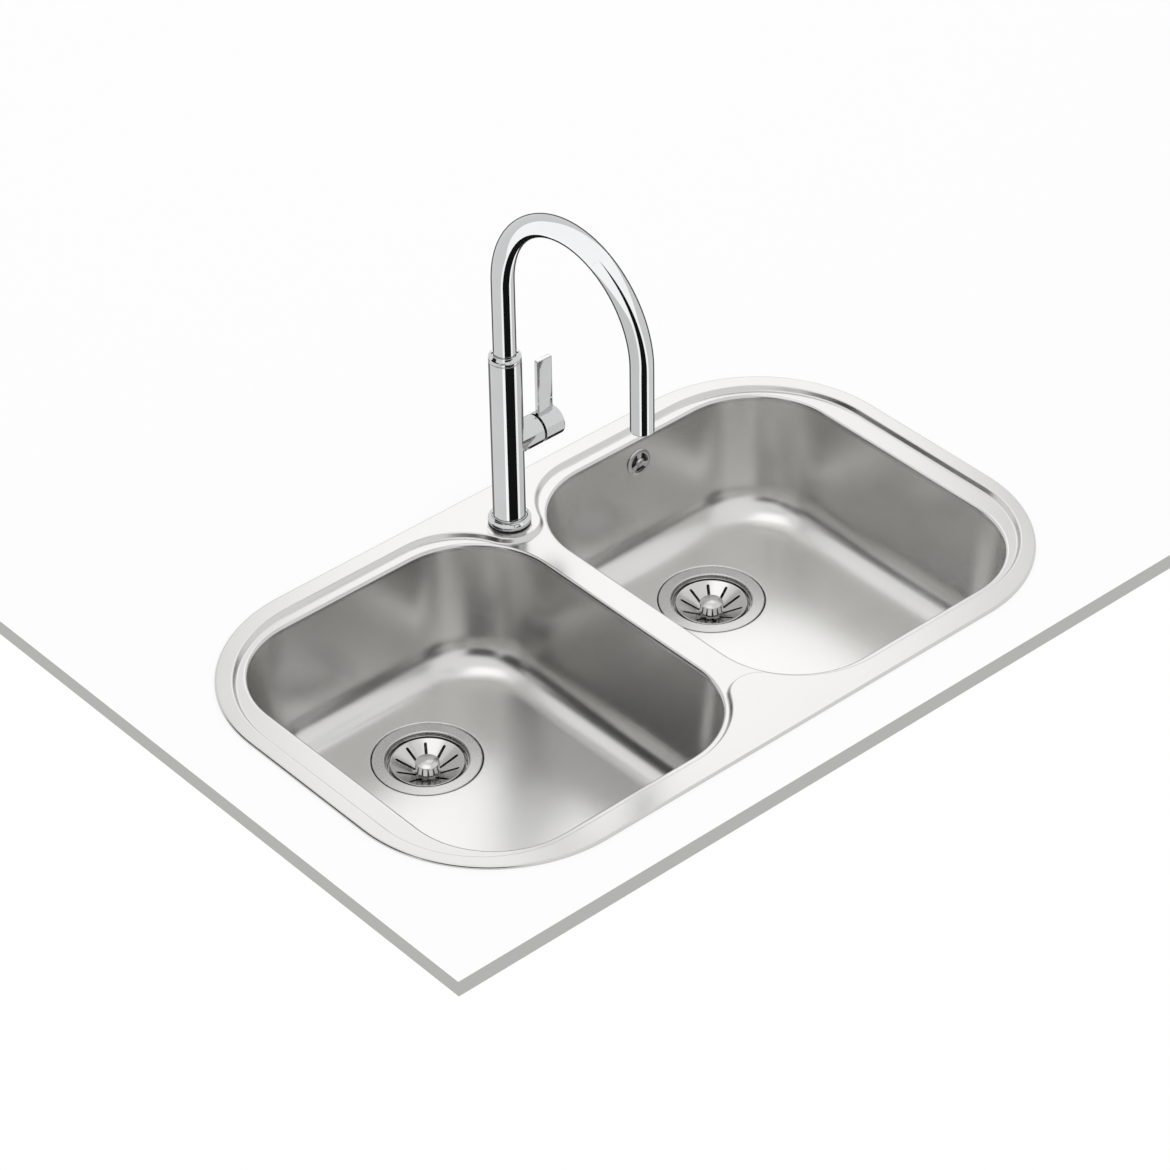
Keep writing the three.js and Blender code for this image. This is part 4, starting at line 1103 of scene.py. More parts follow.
@dataclass
class Strainer:
    """The cup, the lift-out basket and its knob in one bowl."""

    plan: SinkPlan
    side: Side
    flange_top: float = -0.1482
    flange_radius: float = 0.0565
    flange_round: float = 0.0009
    flange_seam: float = 0.006
    mouth_round: float = 0.0018
    cup_radius: float = 0.043
    step_inset: float = 0.0015
    step_drop: float = 0.005
    cup_depth: float = 0.044
    cup_round: float = 0.004
    cup_under_edge: float = 0.0004
    metal: float = 0.001
    screw_hole: float = 0.0033
    drain_holes: int = 6
    drain_hole_radius: float = 0.0065
    drain_hole_place: float = 0.024
    basket_metal: float = 0.0008
    rim_gap: float = 0.0005
    rim_seam: float = 0.0009
    dish_radius: float = 0.0382
    dish_edge: float = 0.0005
    dish_bevel: float = 0.0012
    channel_radius: float = 0.0412
    channel_depth: float = 0.009
    channel_round: float = 0.0006
    dish_floor_radius: float = 0.014
    dish_round: float = 0.010
    dish_depth: float = 0.0125
    skirt_radius: float = 0.0345
    skirt_length: float = 0.009
    skirt_lip: float = 0.003
    slots: int = 10
    slot_start: float = 0.0125
    slot_end: float = 0.0336
    slot_width: float = 0.0032
    knob_radius: float = 0.0125
    knob_rise: float = 0.0035
    knob_edge: float = 0.0006
    stem_radius: float = 0.003
    foot_radius: float = 0.006
    foot_height: float = 0.003
    turning_step: float = 10.0

    @property
    def place(self) -> Matrix:
        """The strainer's place in its bowl."""
        return Matrix.Translation((self.side.value * self.plan.bowl_x, self.plan.drain_y, 0))

    @property
    def cup_step(self) -> float:
        """Height of the step that the basket's rim rests on."""
        return self.flange_top - self.step_drop

    @property
    def rim(self) -> float:
        """Height of the basket rim's underside."""
        return self.cup_step + SEAT_GAP

    @property
    def dish_floor(self) -> float:
        """Height of the dish's floor, in the middle of its metal."""
        return self.rim - self.dish_depth

    def cup(self) -> bpy.types.Object:
        """Builds the cup with its flange and drain holes.

        Returns:
            The cup.
        """
        top, step, bottom = self.flange_top, self.cup_step, self.flange_top - self.cup_depth
        metal, upper, lower = self.metal, self.cup_radius, self.cup_radius - self.step_inset
        section = rounded(
            [
                (upper + self.flange_seam, top),
                (upper, top, self.mouth_round),
                (upper, step, BROKEN_EDGE),
                (lower, step, BROKEN_EDGE),
                (lower, bottom, self.cup_round),
                (self.screw_hole, bottom),
                (self.screw_hole, bottom - metal),
                (lower + metal, bottom - metal, self.cup_round + metal),
                (lower + metal, step - metal, self.cup_under_edge),
                (upper + metal, step - metal, self.cup_under_edge),
                (upper + metal, top - metal, self.mouth_round - metal),
                (self.flange_radius, top - metal),
                (self.flange_radius, top, self.flange_round),
                (upper + self.flange_seam + SEAM_STEP, top),
            ]
        )
        piece = Form().turned(section, 96).place(self.place).piece(f"{self.side.word}_cup_shell")
        holes = []
        for index in range(self.drain_holes):
            turn = Matrix.Rotation(math.tau * index / self.drain_holes, 4, "Z")
            place = self.place @ (turn @ Matrix.Translation((self.drain_hole_place, 0, 0)))
            hole = Form().rod(self.drain_hole_radius, bottom - CUT_REACH, bottom + CUT_REACH, 32)
            holes.append(hole.place(place))
        combine(piece, "DIFFERENCE", holes)
        return piece

    def basket(self) -> bpy.types.Object:
        """Builds the basket with its slots and its skirt.

        Returns:
            The basket.
        """
        metal, rim, floor = self.basket_metal, self.rim, self.dish_floor
        rim_radius = self.cup_radius - self.rim_gap
        slope = self.dish_depth / (self.dish_radius - self.dish_floor_radius)
        shoulder = self.skirt_radius - metal
        shoulder_height = rim - slope * (self.dish_radius - shoulder) - metal
        skirt_bottom = floor - metal / 2 - self.skirt_length
        lip_radius = self.skirt_radius + self.skirt_lip
        channel, channel_floor = rim - self.channel_depth, rim - self.channel_depth + metal
        section = rounded(
            [
                (rim_radius - self.rim_seam, rim + metal),
                (self.channel_radius, rim + 0.0001, 0.0002),
                (self.channel_radius - 0.0003, channel_floor, self.channel_round),
                (self.dish_radius + 0.0005, channel_floor, self.channel_round),
                (self.dish_radius, rim + metal, self.dish_edge),
                (self.dish_radius - self.dish_bevel, rim + metal / 2, self.dish_edge),
                (self.dish_floor_radius, floor + metal, self.dish_round),
                (self.screw_hole, floor + metal),
                (self.screw_hole, floor - metal),
                (self.dish_floor_radius, floor - metal, self.dish_round),
                (shoulder, shoulder_height, 0.0004),
                (shoulder, skirt_bottom, 0.0006),
                (lip_radius, skirt_bottom, BROKEN_EDGE),
                (lip_radius, skirt_bottom + metal, BROKEN_EDGE),
                (self.skirt_radius, skirt_bottom + metal, 0.0004),
                (self.skirt_radius, channel - 0.0004, 0.001),
                (self.channel_radius, channel, 0.0008),
                (self.channel_radius + 0.0002, rim, 0.0002),
                (rim_radius, rim, BROKEN_EDGE),
                (rim_radius, rim + metal, BROKEN_EDGE),
                (rim_radius - self.rim_seam + SEAM_STEP, rim + metal),
            ],
            self.turning_step,
        )
        piece = Form().turned(section, 96).place(self.place).piece(f"{self.side.word}_basket_dish")
        half = self.slot_width / 2
        slot_round = half * 0.99  # just under half the width, so that the two arcs of an end don't meet
        low, high = skirt_bottom - CUT_REACH, rim + CUT_REACH
        stadium = rounded(
            [
                (self.slot_start + half, -half),
                (self.slot_end, -half, slot_round),
                (self.slot_end, half, slot_round),
                (self.slot_start, half, slot_round),
                (self.slot_start, -half, slot_round),
                (self.slot_start + half, -half),
            ],
            30.0,
        )[:-1]
        cutters = []
        for index in range(self.slots):
            turn = Matrix.Rotation(math.tau * (index + 0.5) / self.slots, 4, "Z")
            cutters.append(Form().prism(stadium, low, high).place(self.place @ turn))
        combine(piece, "DIFFERENCE", cutters)
        return piece

    def knob(self) -> bpy.types.Object:
        """Builds the knob with its stem and foot.

        Returns:
            The knob.
        """
        top = self.rim + self.knob_rise
        seat = self.dish_floor + self.basket_metal + SEAT_GAP
        foot = self.dish_floor - self.basket_metal - SEAT_GAP
        radius = self.knob_radius
        section = rounded(
            [
                (0.0, foot - self.foot_height),
                (self.foot_radius, foot - self.foot_height, 0.0008),
                (self.foot_radius, foot, BROKEN_EDGE),
                (self.stem_radius, foot),
                (self.stem_radius, seat),
                (radius - 0.003, seat, self.knob_edge),
                (radius - 0.0022, seat + 0.0012, self.knob_edge),
                (radius, seat + 0.003, 0.001),
                (radius, top - 0.0026, 0.0012),
                (radius - 0.006, top - 0.0004, 0.012),
                (0.0, top),
            ],
            self.turning_step,
        )
        return Form().turned(section).place(self.place).piece(f"{self.side.word}_knob_dome")

    def build(self, dresser: Dresser) -> None:
        """Builds and dresses the pieces.

        Args:
            dresser: Gives the pieces their finish.
        """
        word, body = self.side.word, self.side.strainer_body
        dresser.dress(self.cup(), Finishes.CUP, Body.SINK, f"{word}_strainer_cup")
        dresser.dress(self.basket(), Finishes.BRIGHT, body, f"{word}_strainer_basket")
        dresser.dress(self.knob(), Finishes.BRIGHT, body, f"{word}_strainer_knob")


@dataclass
class Tap:
    """The tap's body, base ring, collar, spout and lever."""

    plan: SinkPlan
    seat: float = 0.0048
    column_radius: float = 0.017
    column_top: float = 0.205
    collar_top: float = 0.213
    collar_spigot: float = 0.006
    collar_dome: float = 0.0035
    collar_flat: float = 0.0032
    ring_radius: float = 0.0225
    ring_height: float = 0.0087
    ring_wall: float = 0.0034
    ring_shoulder: float = 0.0058
    ring_neck: float = 0.0016
    ring_mouth: float = 0.0013
    boss_height: float = 0.101
    boss_radius: float = 0.016
    boss_reach: float = 0.0373
    bore_radius: float = 0.0134
    bore_floor: float = 0.004
    socket_radius: float = 0.0144
    socket_floor: float = 0.151
    waterway: float = 0.007
    stud_hole: float = 0.0043
    stud_x: float = -0.009
    stud_depth: float = 0.016
    port_radius: float = 0.0052
    port_x: float = 0.002
    port_y: float = 0.007
    port_depth: float = 0.025
    hub_start: float = 0.040
    hub_end: float = 0.065
    hub_skirt: float = 0.0012
    hub_wall: float = 0.006
    hub_round: float = 0.0014
    post_radius: float = 0.0065
    post_start: float = 0.044
    grub_radius: float = 0.0028
    grub_inset: float = 0.0136
    lever_top: float = 0.183
    lever_width: float = 0.0197
    lever_thickness: float = 0.005
    blade_corner: float = 0.0015
    blade_edge: float = 0.0006
    blade_gap: float = 0.0002
    stem_half: float = 0.003
    stem_end: float = 0.0567
    spout_radius: float = 0.012
    spout_bore: float = 0.010
    arch_radius: float = 0.103
    arch_centre: float = 0.299
    arch_steps: int = 72
    outlet: float = 0.226
    tube_edge: float = 0.0004
    tube_support: float = 0.001

    @property
    def place(self) -> Matrix:
        """The tap's place on the back landing."""
        return Matrix.Translation((0, self.plan.tap_y, 0))

    @property
    def boss_place(self) -> Matrix:
        """The side boss's place: +Z of a form there points along +X."""
        height = Matrix.Translation((0, 0, self.boss_height))
        return self.place @ height @ Matrix.Rotation(math.pi / 2, 4, "Y")

    def body(self) -> bpy.types.Object:
        """Builds the column with its side boss and bores.

        Returns:
            The column.
        """
        column = rounded(
            [
                (0.0, self.seat),
                (self.column_radius, self.seat, BROKEN_EDGE),
                (self.column_radius, self.column_top, BROKEN_EDGE),
                (0.0, self.column_top),
            ]
        )
        piece = Form().turned(column, 128).place(self.place).piece("tap_column")
        boss = rounded(
            [
                (0.0, 0.0),
                (self.boss_radius, 0.0),
                (self.boss_radius, self.boss_reach, 0.0005),
                (0.0, self.boss_reach),
            ]
        )
        combine(piece, "UNION", [Form().turned(boss, 96).place(self.boss_place)])
        below = self.seat - CUT_REACH
        bore = Form().rod(self.bore_radius, self.bore_floor, self.boss_reach + CUT_REACH, 64)
        socket = Form().rod(self.socket_radius, self.socket_floor, self.column_top + CUT_REACH, 64)
        waterway = Form().rod(self.waterway, self.boss_height, self.socket_floor + OVERLAP, 32)
        stud = Form().rod(self.stud_hole, below, self.seat + self.stud_depth, 32)
        stud_place = self.place @ Matrix.Translation((self.stud_x, 0, 0))
        cuts = [
            bore.place(self.boss_place),
            socket.place(self.place),
            waterway.place(self.place),
            stud.place(stud_place),
        ]
        for y in (-self.port_y, self.port_y):
            port = Form().rod(self.port_radius, below, self.seat + self.port_depth, 40)
            cuts.append(port.place(self.place @ Matrix.Translation((self.port_x, y, 0))))
        combine(piece, "DIFFERENCE", cuts)
        return piece

    def base_ring(self) -> bpy.types.Object:
        """Builds the flared ring round the tap's foot.

        Returns:
            The ring.
        """
        inner = self.column_radius + SEAT_GAP
        top = self.seat + self.ring_height
        section = rounded(
            [
                (inner, self.seat),
                (self.ring_radius, self.seat, 0.0006),
                (self.ring_radius, self.seat + self.ring_wall, 0.001),
                (self.column_radius + self.ring_neck, self.seat + self.ring_shoulder, 0.003),
                (self.column_radius + self.ring_mouth, top, 0.0005),
                (inner, top),
            ]
        )
        return Form().turned(section, 96).place(self.place).piece("tap_foot_ring")

    def collar(self) -> bpy.types.Object:
        """Builds the collar that closes the column round the spout.

        Returns:
            The collar.
        """
        inner = self.spout_radius + SEAT_GAP
        spigot = self.socket_radius - SEAT_GAP
        seat = self.column_top + SEAT_GAP
        section = rounded(
            [
                (inner, seat - self.collar_spigot),
                (spigot, seat - self.collar_spigot),
                (spigot, seat),
                (self.column_radius, seat, BROKEN_EDGE),
                (self.column_radius, self.collar_top - self.collar_dome, 0.0022),
                (self.column_radius - self.collar_flat, self.collar_top, 0.0008),
                (inner, self.collar_top),
            ]
        )
        return Form().turned(section, 128).place(self.place).piece("spout_collar_ring")

    def spout(self) -> bpy.types.Object:
        """Builds the spout's tube: a riser, a half circle towards the front and a straight end.

        Returns:
            The tube.
        """
        form = Form()
        mesh = form.mesh
        bottom = self.socket_floor + SEAT_GAP
        base = Matrix.Translation((0, 0, bottom))
        centre = (0, -self.arch_radius, self.arch_centre)
        support = self.tube_support
        ends: list[list[Edges]] = []
        for radius in (self.spout_radius, self.spout_bore):
            known = set(mesh.edges)
            bmesh.ops.create_circle(mesh, cap_ends=False, radius=radius, segments=64, matrix=base)
            start = [edge for edge in mesh.edges if edge not in known]
            riser = self.extrude(mesh, start, support)
            riser = self.extrude(mesh, riser, self.arch_centre - bottom - support)
            spun = bmesh.ops.spin(
                mesh, geom=riser, cent=centre, axis=X_AXIS, angle=math.pi, steps=self.arch_steps
            )
            arch = [item for item in spun["geom_last"] if isinstance(item, bmesh.types.BMEdge)]
            end = self.extrude(mesh, arch, self.outlet - self.arch_centre + support)
            end = self.extrude(mesh, end, -support)
            ends.append([start, end])
        for index in range(2):
            bmesh.ops.bridge_loops(mesh, edges=ends[0][index] + ends[1][index])
        rims = [edge for loops in ends for loop in loops for edge in loop]
        form.soften(rims, self.tube_edge, 2)
        return form.place(self.place).piece("spout_tube")

    @staticmethod
    def extrude(mesh: Mesh, edges: Edges, rise: float) -> Edges:
        """Extrudes a loop of edges straight up or down.

        Args:
            mesh: The mesh.
            edges: The loop.
            rise: How far it goes up, or down where it is below 0.

        Returns:
            The loop at the far end.
        """
        made = bmesh.ops.extrude_edge_only(mesh, edges=edges)["geom"]
        verts = [item for item in made if isinstance(item, bmesh.types.BMVert)]
        bmesh.ops.translate(mesh, verts=verts, vec=rise * Z_AXIS)
        return [item for item in made if isinstance(item, bmesh.types.BMEdge)]

    def lever(self) -> bpy.types.Object:
        """Builds the lever: a hub with a cavity, a post for the stem and an upright blade.

        Returns:
            The lever.
        """
        cavity = self.boss_radius - self.hub_skirt
        cavity_end = self.hub_end - self.hub_wall
        hub = rounded(
            [
                (0.0, cavity_end),
                (cavity, cavity_end),
                (cavity, self.hub_start),
                (self.boss_radius, self.hub_start, 0.0004),
                (self.boss_radius, self.hub_end, self.hub_round),
                (0.0, self.hub_end),
            ]
        )
        piece = Form().turned(hub, 96).place(self.boss_place).piece("lever_handle")
        foot = self.boss_height + cavity + self.blade_gap
        left, right = self.hub_start, self.hub_start + self.lever_width
        # The blade's outline starts on its foot, beside the post, where no corner is rounded.
        blade = rounded(
            [
                (self.post_start, foot),
                (right, foot),
                (right, self.lever_top, self.blade_corner),
                (left, self.lever_top, self.blade_corner),
                (left, foot),
                (self.post_start, foot),
            ]
        )[:-1]
        upright = self.place @ Matrix.Rotation(math.pi / 2, 4, "X")
        half = self.lever_thickness / 2
        post = Form().rod(self.post_radius, self.post_start, cavity_end + OVERLAP, 48).place(self.boss_place)
        combine(piece, "UNION", [post, Form().prism(blade, -half, half, self.blade_edge).place(upright)])
        grip = self.stem_half + SEAT_GAP
        middle = self.boss_height
        stem_end = self.stem_end + SEAT_GAP
        socket = Form().block((left, -grip, middle - grip), (stem_end, grip, middle + grip))
        below = middle - self.boss_radius - 2 * OVERLAP
        grub = Form().rod(self.grub_radius, below, middle - self.stem_half, 32)
        grub_place = self.place @ Matrix.Translation((self.hub_end - self.grub_inset, 0, 0))
        combine(piece, "DIFFERENCE", [socket.place(self.place), grub.place(grub_place)])
        return piece

    def build(self, dresser: Dresser) -> None:
        """Builds and dresses the pieces.

        Args:
            dresser: Gives the pieces their finish.
        """
        dresser.dress(self.body(), Finishes.CHROME, Body.SINK, "tap_body")
        dresser.dress(self.base_ring(), Finishes.CHROME, Body.SINK, "tap_base_ring")
        dresser.dress(self.collar(), Finishes.CHROME, Body.SINK, "spout_collar")
        dresser.dress(self.spout(), Finishes.CHROME, Body.SPOUT, "spout")
        dresser.dress(self.lever(), Finishes.CHROME, Body.LEVER, "lever")


@dataclass
class Overflow:
    """The rosette over the overflow hole, with its screw."""

    bowl: Bowl
    radius: float = 0.0155
    thickness: float = 0.002
    screw_radius: float = 0.0025
    edge_share: float = 0.55
    dome_run: float = 0.0028
    border: float = 0.004
    hub: float = 0.003
    windows: tuple[float, ...] = (30.0, 150.0, 270.0)
    outer_half: float = 42.0
    inner_half: float = 36.0

    def rosette(self) -> bpy.types.Object:
        """Builds the rosette with its three openings.

        Returns:
            The rosette.
        """
        low, high = SEAT_GAP, SEAT_GAP + self.thickness
        section = rounded(
            [
                (0.0, low),
                (self.radius, low, BROKEN_EDGE),
                (self.radius, low + self.thickness * self.edge_share, 0.0005),
                (self.radius - self.dome_run, high, 0.0025),
                (0.0, high),
            ]
        )
        piece = Form().turned(section, 96).place(self.bowl.overflow_place()).piece("overflow_cover")
        bottom, top = -self.thickness, 2 * self.thickness
        cutters = [Form().rod(self.screw_radius + SEAT_GAP, bottom, top, 32)]
        for middle in self.windows:
            window = self.arc(self.radius - self.border, middle, self.outer_half, 12)
            window += self.arc(self.screw_radius + self.hub, middle, -self.inner_half, 6)
            cutters.append(Form().prism(window, bottom, top))
        for cutter in cutters:
            cutter.place(self.bowl.overflow_place())
        combine(piece, "DIFFERENCE", cutters)
        return piece

    @staticmethod
    def arc(radius: float, middle: float, half: float, steps: int) -> list[Point]:
        """Points of an arc about the screw.

        Args:
            radius: The arc's radius.
            middle: The direction of its middle, in degrees.
            half: Degrees from its start to its middle.
            steps: The steps of the arc.

        Returns:
            The points.
        """
        turns = [math.radians(middle - half + 2 * half * i / steps) for i in range(steps + 1)]
        return [(radius * math.cos(turn), radius * math.sin(turn)) for turn in turns]

    def build(self, dresser: Dresser) -> None:
        """Builds and dresses the rosette.

        Args:
            dresser: Gives the piece its finish.
        """
        dresser.dress(self.rosette(), Finishes.BRIGHT, Body.SINK, "overflow_rosette")


# ---------------------------------------------------------------- studio


GLOW = 9.0  # degrees that a bright band beside the dark stripe takes on a straight tube

Touch = tuple[Vector, Vector]  # a point on a surface and the surface's normal there


def facing(place: Sequence[float]) -> Matrix:
    """A place with its +Z away from the sink's middle, so that a lamp there shines on the sink."""
    return Matrix.Translation(place) @ Vector(place).to_track_quat("Z", "Y").to_matrix().to_4x4()


@dataclass(frozen=True)
class SoftLight:
    """A square soft light that faces the sink.

    Attributes:
        name: The light's name.
        place: Where it hangs.
        size: Its side.
        brightness: How bright its face is, where 1 is white.
    """

    name: str
    place: tuple[float, float, float]
    size: float
    brightness: float

    def build(self) -> None:
        """Hangs the light."""
        data = bpy.data.lights.new(self.name, "AREA")
        data.size = self.size
        data.energy = self.brightness * math.pi * self.size**2
        lamp = bpy.data.objects.new(self.name, data)
        lamp.matrix_world = facing(self.place)
        bpy.context.scene.collection.objects.link(lamp)


@dataclass(frozen=True)
class Board:
    """A board that stands outside the view and faces the sink.

    Attributes:
        name: The board's name.
        place: Its middle.
        width: Its width.
        height: Its height.
        grey: Its grey, where 1 is white.
    """

    name: str
    place: tuple[float, float, float]
    width: float
    height: float
    grey: float

    def form(self) -> Form:
        """Builds the board's form.

        Returns:
            The form.
        """
        form = Form()
        matrix = facing(self.place) @ Matrix.Diagonal((self.width, self.height, 1.0, 1.0))
        bmesh.ops.create_grid(form.mesh, x_segments=2, y_segments=2, size=0.5, matrix=matrix)
        return form


@dataclass
class Studio:
    """The worktop that carries the sink, the light, the boards and cards that metal mirrors, and the camera.

    The photographed chrome mirrors stripes of a studio that isn't seen. Cards stand close to the tap for
    them, each placed where a band of the chrome mirrors it towards the camera. Turns are degrees round a
    tube, from the side that faces the camera.

    Attributes:
        plan: The sink's outlines.
        tap: The tap.
        front: The worktop's front edge along Y.
        left: The worktop's left edge along X.
        far: Its right and back edges.
        slab: Its thickness.
        corner: The radius of its corners.
        cutout_margin: How far its cut-out lies within the sink's outline.
        plain_shares: How much of its top and of its edges is plain colour.
        eye: The camera's place.
        ahead: The camera's direction.
        right: The camera's right hand.
        lens: The focal length in millimetres.
        sensor: The sensor's width in millimetres.
        surround: How bright the surroundings light the sink, and how bright they look.
        lamps: The soft lights.
        boards: The dark boards that darken the steel's left.
        board_range: The distance from which the boards are mirrored, and how far it goes either way.
        card_range: The same for the cards, which stand at that distance.
        card_margin: How far the cards keep off the end of a piece.
        band_steps: Faces across each card.
        edge: The turn at which a tube ends for the camera.
        shoulder: The turn at which a tube's dark outline starts.
        stripe_end: The turn that a dark stripe doesn't pass.
        stripe: The dark stripe's first and last turns on the column.
        column_spans: The cards of the column, with the heights between which they stand.
        column_greys: The greys of the bands on the column.
        tube_greys: The greys of the bands on the spout.
        boss_turns: The turns of the bands on the side boss and the lever's hub.
        boss_greys: Their greys.
        blade_grey: The grey that the lever's blade mirrors.
        blade_margin: How far the blade's card stands out past its sides and its top.
        blade_overlap: How far it reaches down past the top of the side boss.
        arch_step: Degrees of the spout's arch from one row of a card to the next.
        riser_rows: Rows of the riser's cards that lie on the arch.
        outlet_rows: Rows of the outlet's cards that lie on the arch.
    """

    plan: SinkPlan
    tap: Tap
    front: float = -0.3055
    left: float = -0.486
    far: float = 3.0
    slab: float = 0.018
    corner: float = 0.0004
    cutout_margin: float = 0.012
    plain_shares: Pair = (0.7, 0.8)
    eye: Vector = field(default_factory=lambda: Vector((-2.26933, -2.55478, 2.66281)))
    ahead: Vector = field(default_factory=lambda: Vector((0.517585, 0.599300, -0.610692)))
    right: Vector = field(default_factory=lambda: Vector((0.750164, -0.661124, -0.012998)))
    lens: float = 132.55
    sensor: float = 36.0
    surround: Pair = (0.95, 1.0)
    lamps: tuple[SoftLight, ...] = (
        SoftLight("key_light", (1.66, 1.92, 1.95), 1.2, 0.6),
        SoftLight("top_light", (-0.3, 0.5, 3.0), 1.6, 0.6),
    )
    boards: tuple[Board, ...] = (
        Board("left_board", (-1.05, 0.5, 0.5), 1.3, 0.9, 0.02),
        Board("near_board", (-0.85, -0.5, 0.38), 0.75, 0.6, 0.02),
    )
    board_range: Pair = (1.6, 1.4)
    card_range: Pair = (0.012, 0.002)
    card_margin: float = 0.0005
    band_steps: int = 8
    edge: float = 90.0
    shoulder: float = 63.0
    stripe_end: float = 84.0
    stripe: Pair = (-1.0, 32.0)
    column_spans: tuple[tuple[str, float, float], ...] = (
        ("column_card", 0.0145, 0.2048),
        ("collar_card", 0.2056, 0.2094),
    )
    column_greys: tuple[float, ...] = (0.22, 0.92, 1.5, 0.01, 1.35, 0.8, 0.12)
    tube_greys: tuple[float, ...] = (0.12, 0.92, 1.45, 0.01, 1.45, 0.85, 0.1)
    boss_turns: tuple[float, ...] = (-90.0, -72.0, 20.0, 58.0, 84.0, 90.0)
    boss_greys: tuple[float, ...] = (0.5, 1.0, 0.85, 0.03, 0.3)
    blade_grey: float = 0.9
    blade_margin: float = 0.001
    blade_overlap: float = 0.004
    arch_step: float = 4.0
    riser_rows: int = 29
    outlet_rows: int = 17

    def camera(self) -> None:
        """Places the camera at the photograph's viewing angle."""
        data = bpy.data.cameras.new("camera")
        data.lens = self.lens
        data.sensor_width = self.sensor
        data.clip_end = 50.0
        camera = bpy.data.objects.new("camera", data)
        up = self.right.cross(self.ahead)
        turn = Matrix((self.right, up, -self.ahead)).transposed().to_4x4()
        camera.matrix_world = Matrix.Translation(self.eye) @ turn
        bpy.context.scene.collection.objects.link(camera)
        bpy.context.scene.camera = camera
        bpy.context.scene.view_settings.view_transform = "Standard"

    def worktop(self) -> None:
        """Builds the white worktop with its cut-out, and its edges painted grey as shade on the upright
        faces.
        """
        form = Form()
        middle = ((self.left + self.far) / 2, (self.front + self.far) / 2)
        half_x, half_y = (self.far - self.left) / 2, (self.far - self.front) / 2
        reach = rounded_rectangle(middle, half_x, half_y, self.corner, 2)
        hole = self.plan.rim(self.cutout_margin)
        form.flat(reach.draw(form.mesh, 0.0), hole.draw(form.mesh, 0.0))
        form.thicken(self.slab)
        form.mesh.normal_update()
        for face in form.mesh.faces:
            face.material_index = int(abs(face.normal.z) < 0.5)
        floor = form.piece("worktop", closed=False)
        top, edge = self.plain_shares
        floor.data.materials.append(self.pale("worktop_white", (1.0, 1.0, 1.0), top))
        # The edges' grey is painted shade: the white worktop's upright faces are shown darker whatever light
        # falls on them.
        floor.data.materials.append(self.pale("worktop_edge_painted_shade", (0.46, 0.46, 0.445), edge))

    @staticmethod
    def pale(name: str, colour: Colour, share: float) -> bpy.types.Material:
        """A pale matt surface that partly shows its plain colour, whatever light falls on it.

        Args:
            name: The material's name.
            colour: The colour.
            share: How much of what is seen is the plain colour.

        Returns:
            The material.
        """
        graph = Graph(bpy.data.materials.new(name))
        matt = graph.node("ShaderNodeBsdfDiffuse", {"Color": (*toned(colour, 0.94), 1.0)})
        plain_colour = graph.node("ShaderNodeEmission", {"Color": (*colour, 1.0), "Strength": 1.0})
        amount = graph.between(graph.seen(), UNIT, (0.0, share))
        return graph.blended(amount, matt.outputs[0], plain_colour.outputs[0])

    def light(self) -> None:
        """Sets the white surroundings and the soft lamps."""
        graph = Graph(bpy.data.worlds.new("studio"))
        bpy.context.scene.world = graph.owner
        level = graph.between(graph.seen(), UNIT, self.surround)
        white = graph.node("ShaderNodeBackground", {"Color": (1.0, 1.0, 1.0, 1.0), "Strength": level})
        graph.node("ShaderNodeOutputWorld", {"Surface": white.outputs[0]})
        for lamp in self.lamps:
            lamp.build()

    @staticmethod
    def mirrored_only(form: Form, name: str, grey: float, reach: Pair) -> None:
        """Turns a form into a board or card that only metal mirrors.

        Args:
            form: The form.
            name: The board's name.
            grey: Its grey, where 1 is white.
            reach: The distance from which it is mirrored, and how far it goes either way.
        """
        board = form.piece(name, closed=False)
        graph = Graph(bpy.data.materials.new(name))
        plain_grey = graph.node("ShaderNodeEmission", {"Color": (grey, grey, grey, 1.0), "Strength": 1.0})
        clear = graph.node("ShaderNodeBsdfTransparent")
        length = graph.node("ShaderNodeLightPath").outputs["Ray Length"]
        compare = graph.node("ShaderNodeMath", operation="COMPARE")
        graph.tree.links.new(length, compare.inputs[0])
        compare.inputs[1].default_value, compare.inputs[2].default_value = reach
        material = graph.blended(compare.outputs[0], clear.outputs[0], plain_grey.outputs[0])
        board.data.materials.append(material)
        board.visible_camera = False
        board.visible_diffuse = False
        board.visible_shadow = False

    def card(self, name: str, rows: Sequence[Sequence[Sequence[Touch]]], greys: Sequence[float]) -> None:
        """Adds cards close to the tap, each where a band of the chrome mirrors it.

        Args:
            name: The cards' name.
            rows: Rows across the chrome, each with the touches of every band.
            greys: The grey of each band's card, where 1 is white.
        """
        for band, grey in enumerate(greys):
            form = Form()
            across, along = len(rows[0][band]) - 1, len(rows) - 1
            grid = bmesh.ops.create_grid(form.mesh, x_segments=across, y_segments=along, size=0.5)["verts"]
            touches = [touch for row in rows for touch in row[band]]
            for vert, (point, normal) in zip(grid, touches):
                view = (point - self.eye).normalized()
                vert.co = point + self.card_range[0] * view.reflect(normal)
            self.mirrored_only(form, f"{name}_{band}", grey, self.card_range)

    def row(self, middle: Vector, along: Vector, radius: float, turns: Sequence[float]) -> list[list[Touch]]:
        """The touches of every band across a tube.

        Args:
            middle: A point of the tube's axis.
            along: The tube's direction there.
            radius: The tube's radius.
            turns: Degrees round the tube of the bands' edges, from the side that faces the camera.

        Returns:
            The touches, band by band.
        """
        view = (middle - self.eye).normalized()
        face = (along * view.dot(along) - view).normalized()
        bands = []
        for first, last in zip(turns, turns[1:]):
            fine = [first + (last - first) * i / self.band_steps for i in range(self.band_steps + 1)]
            normals = [Matrix.Rotation(math.radians(turn), 3, along) @ face for turn in fine]
            bands.append([(middle + radius * normal, normal) for normal in normals])
        return bands

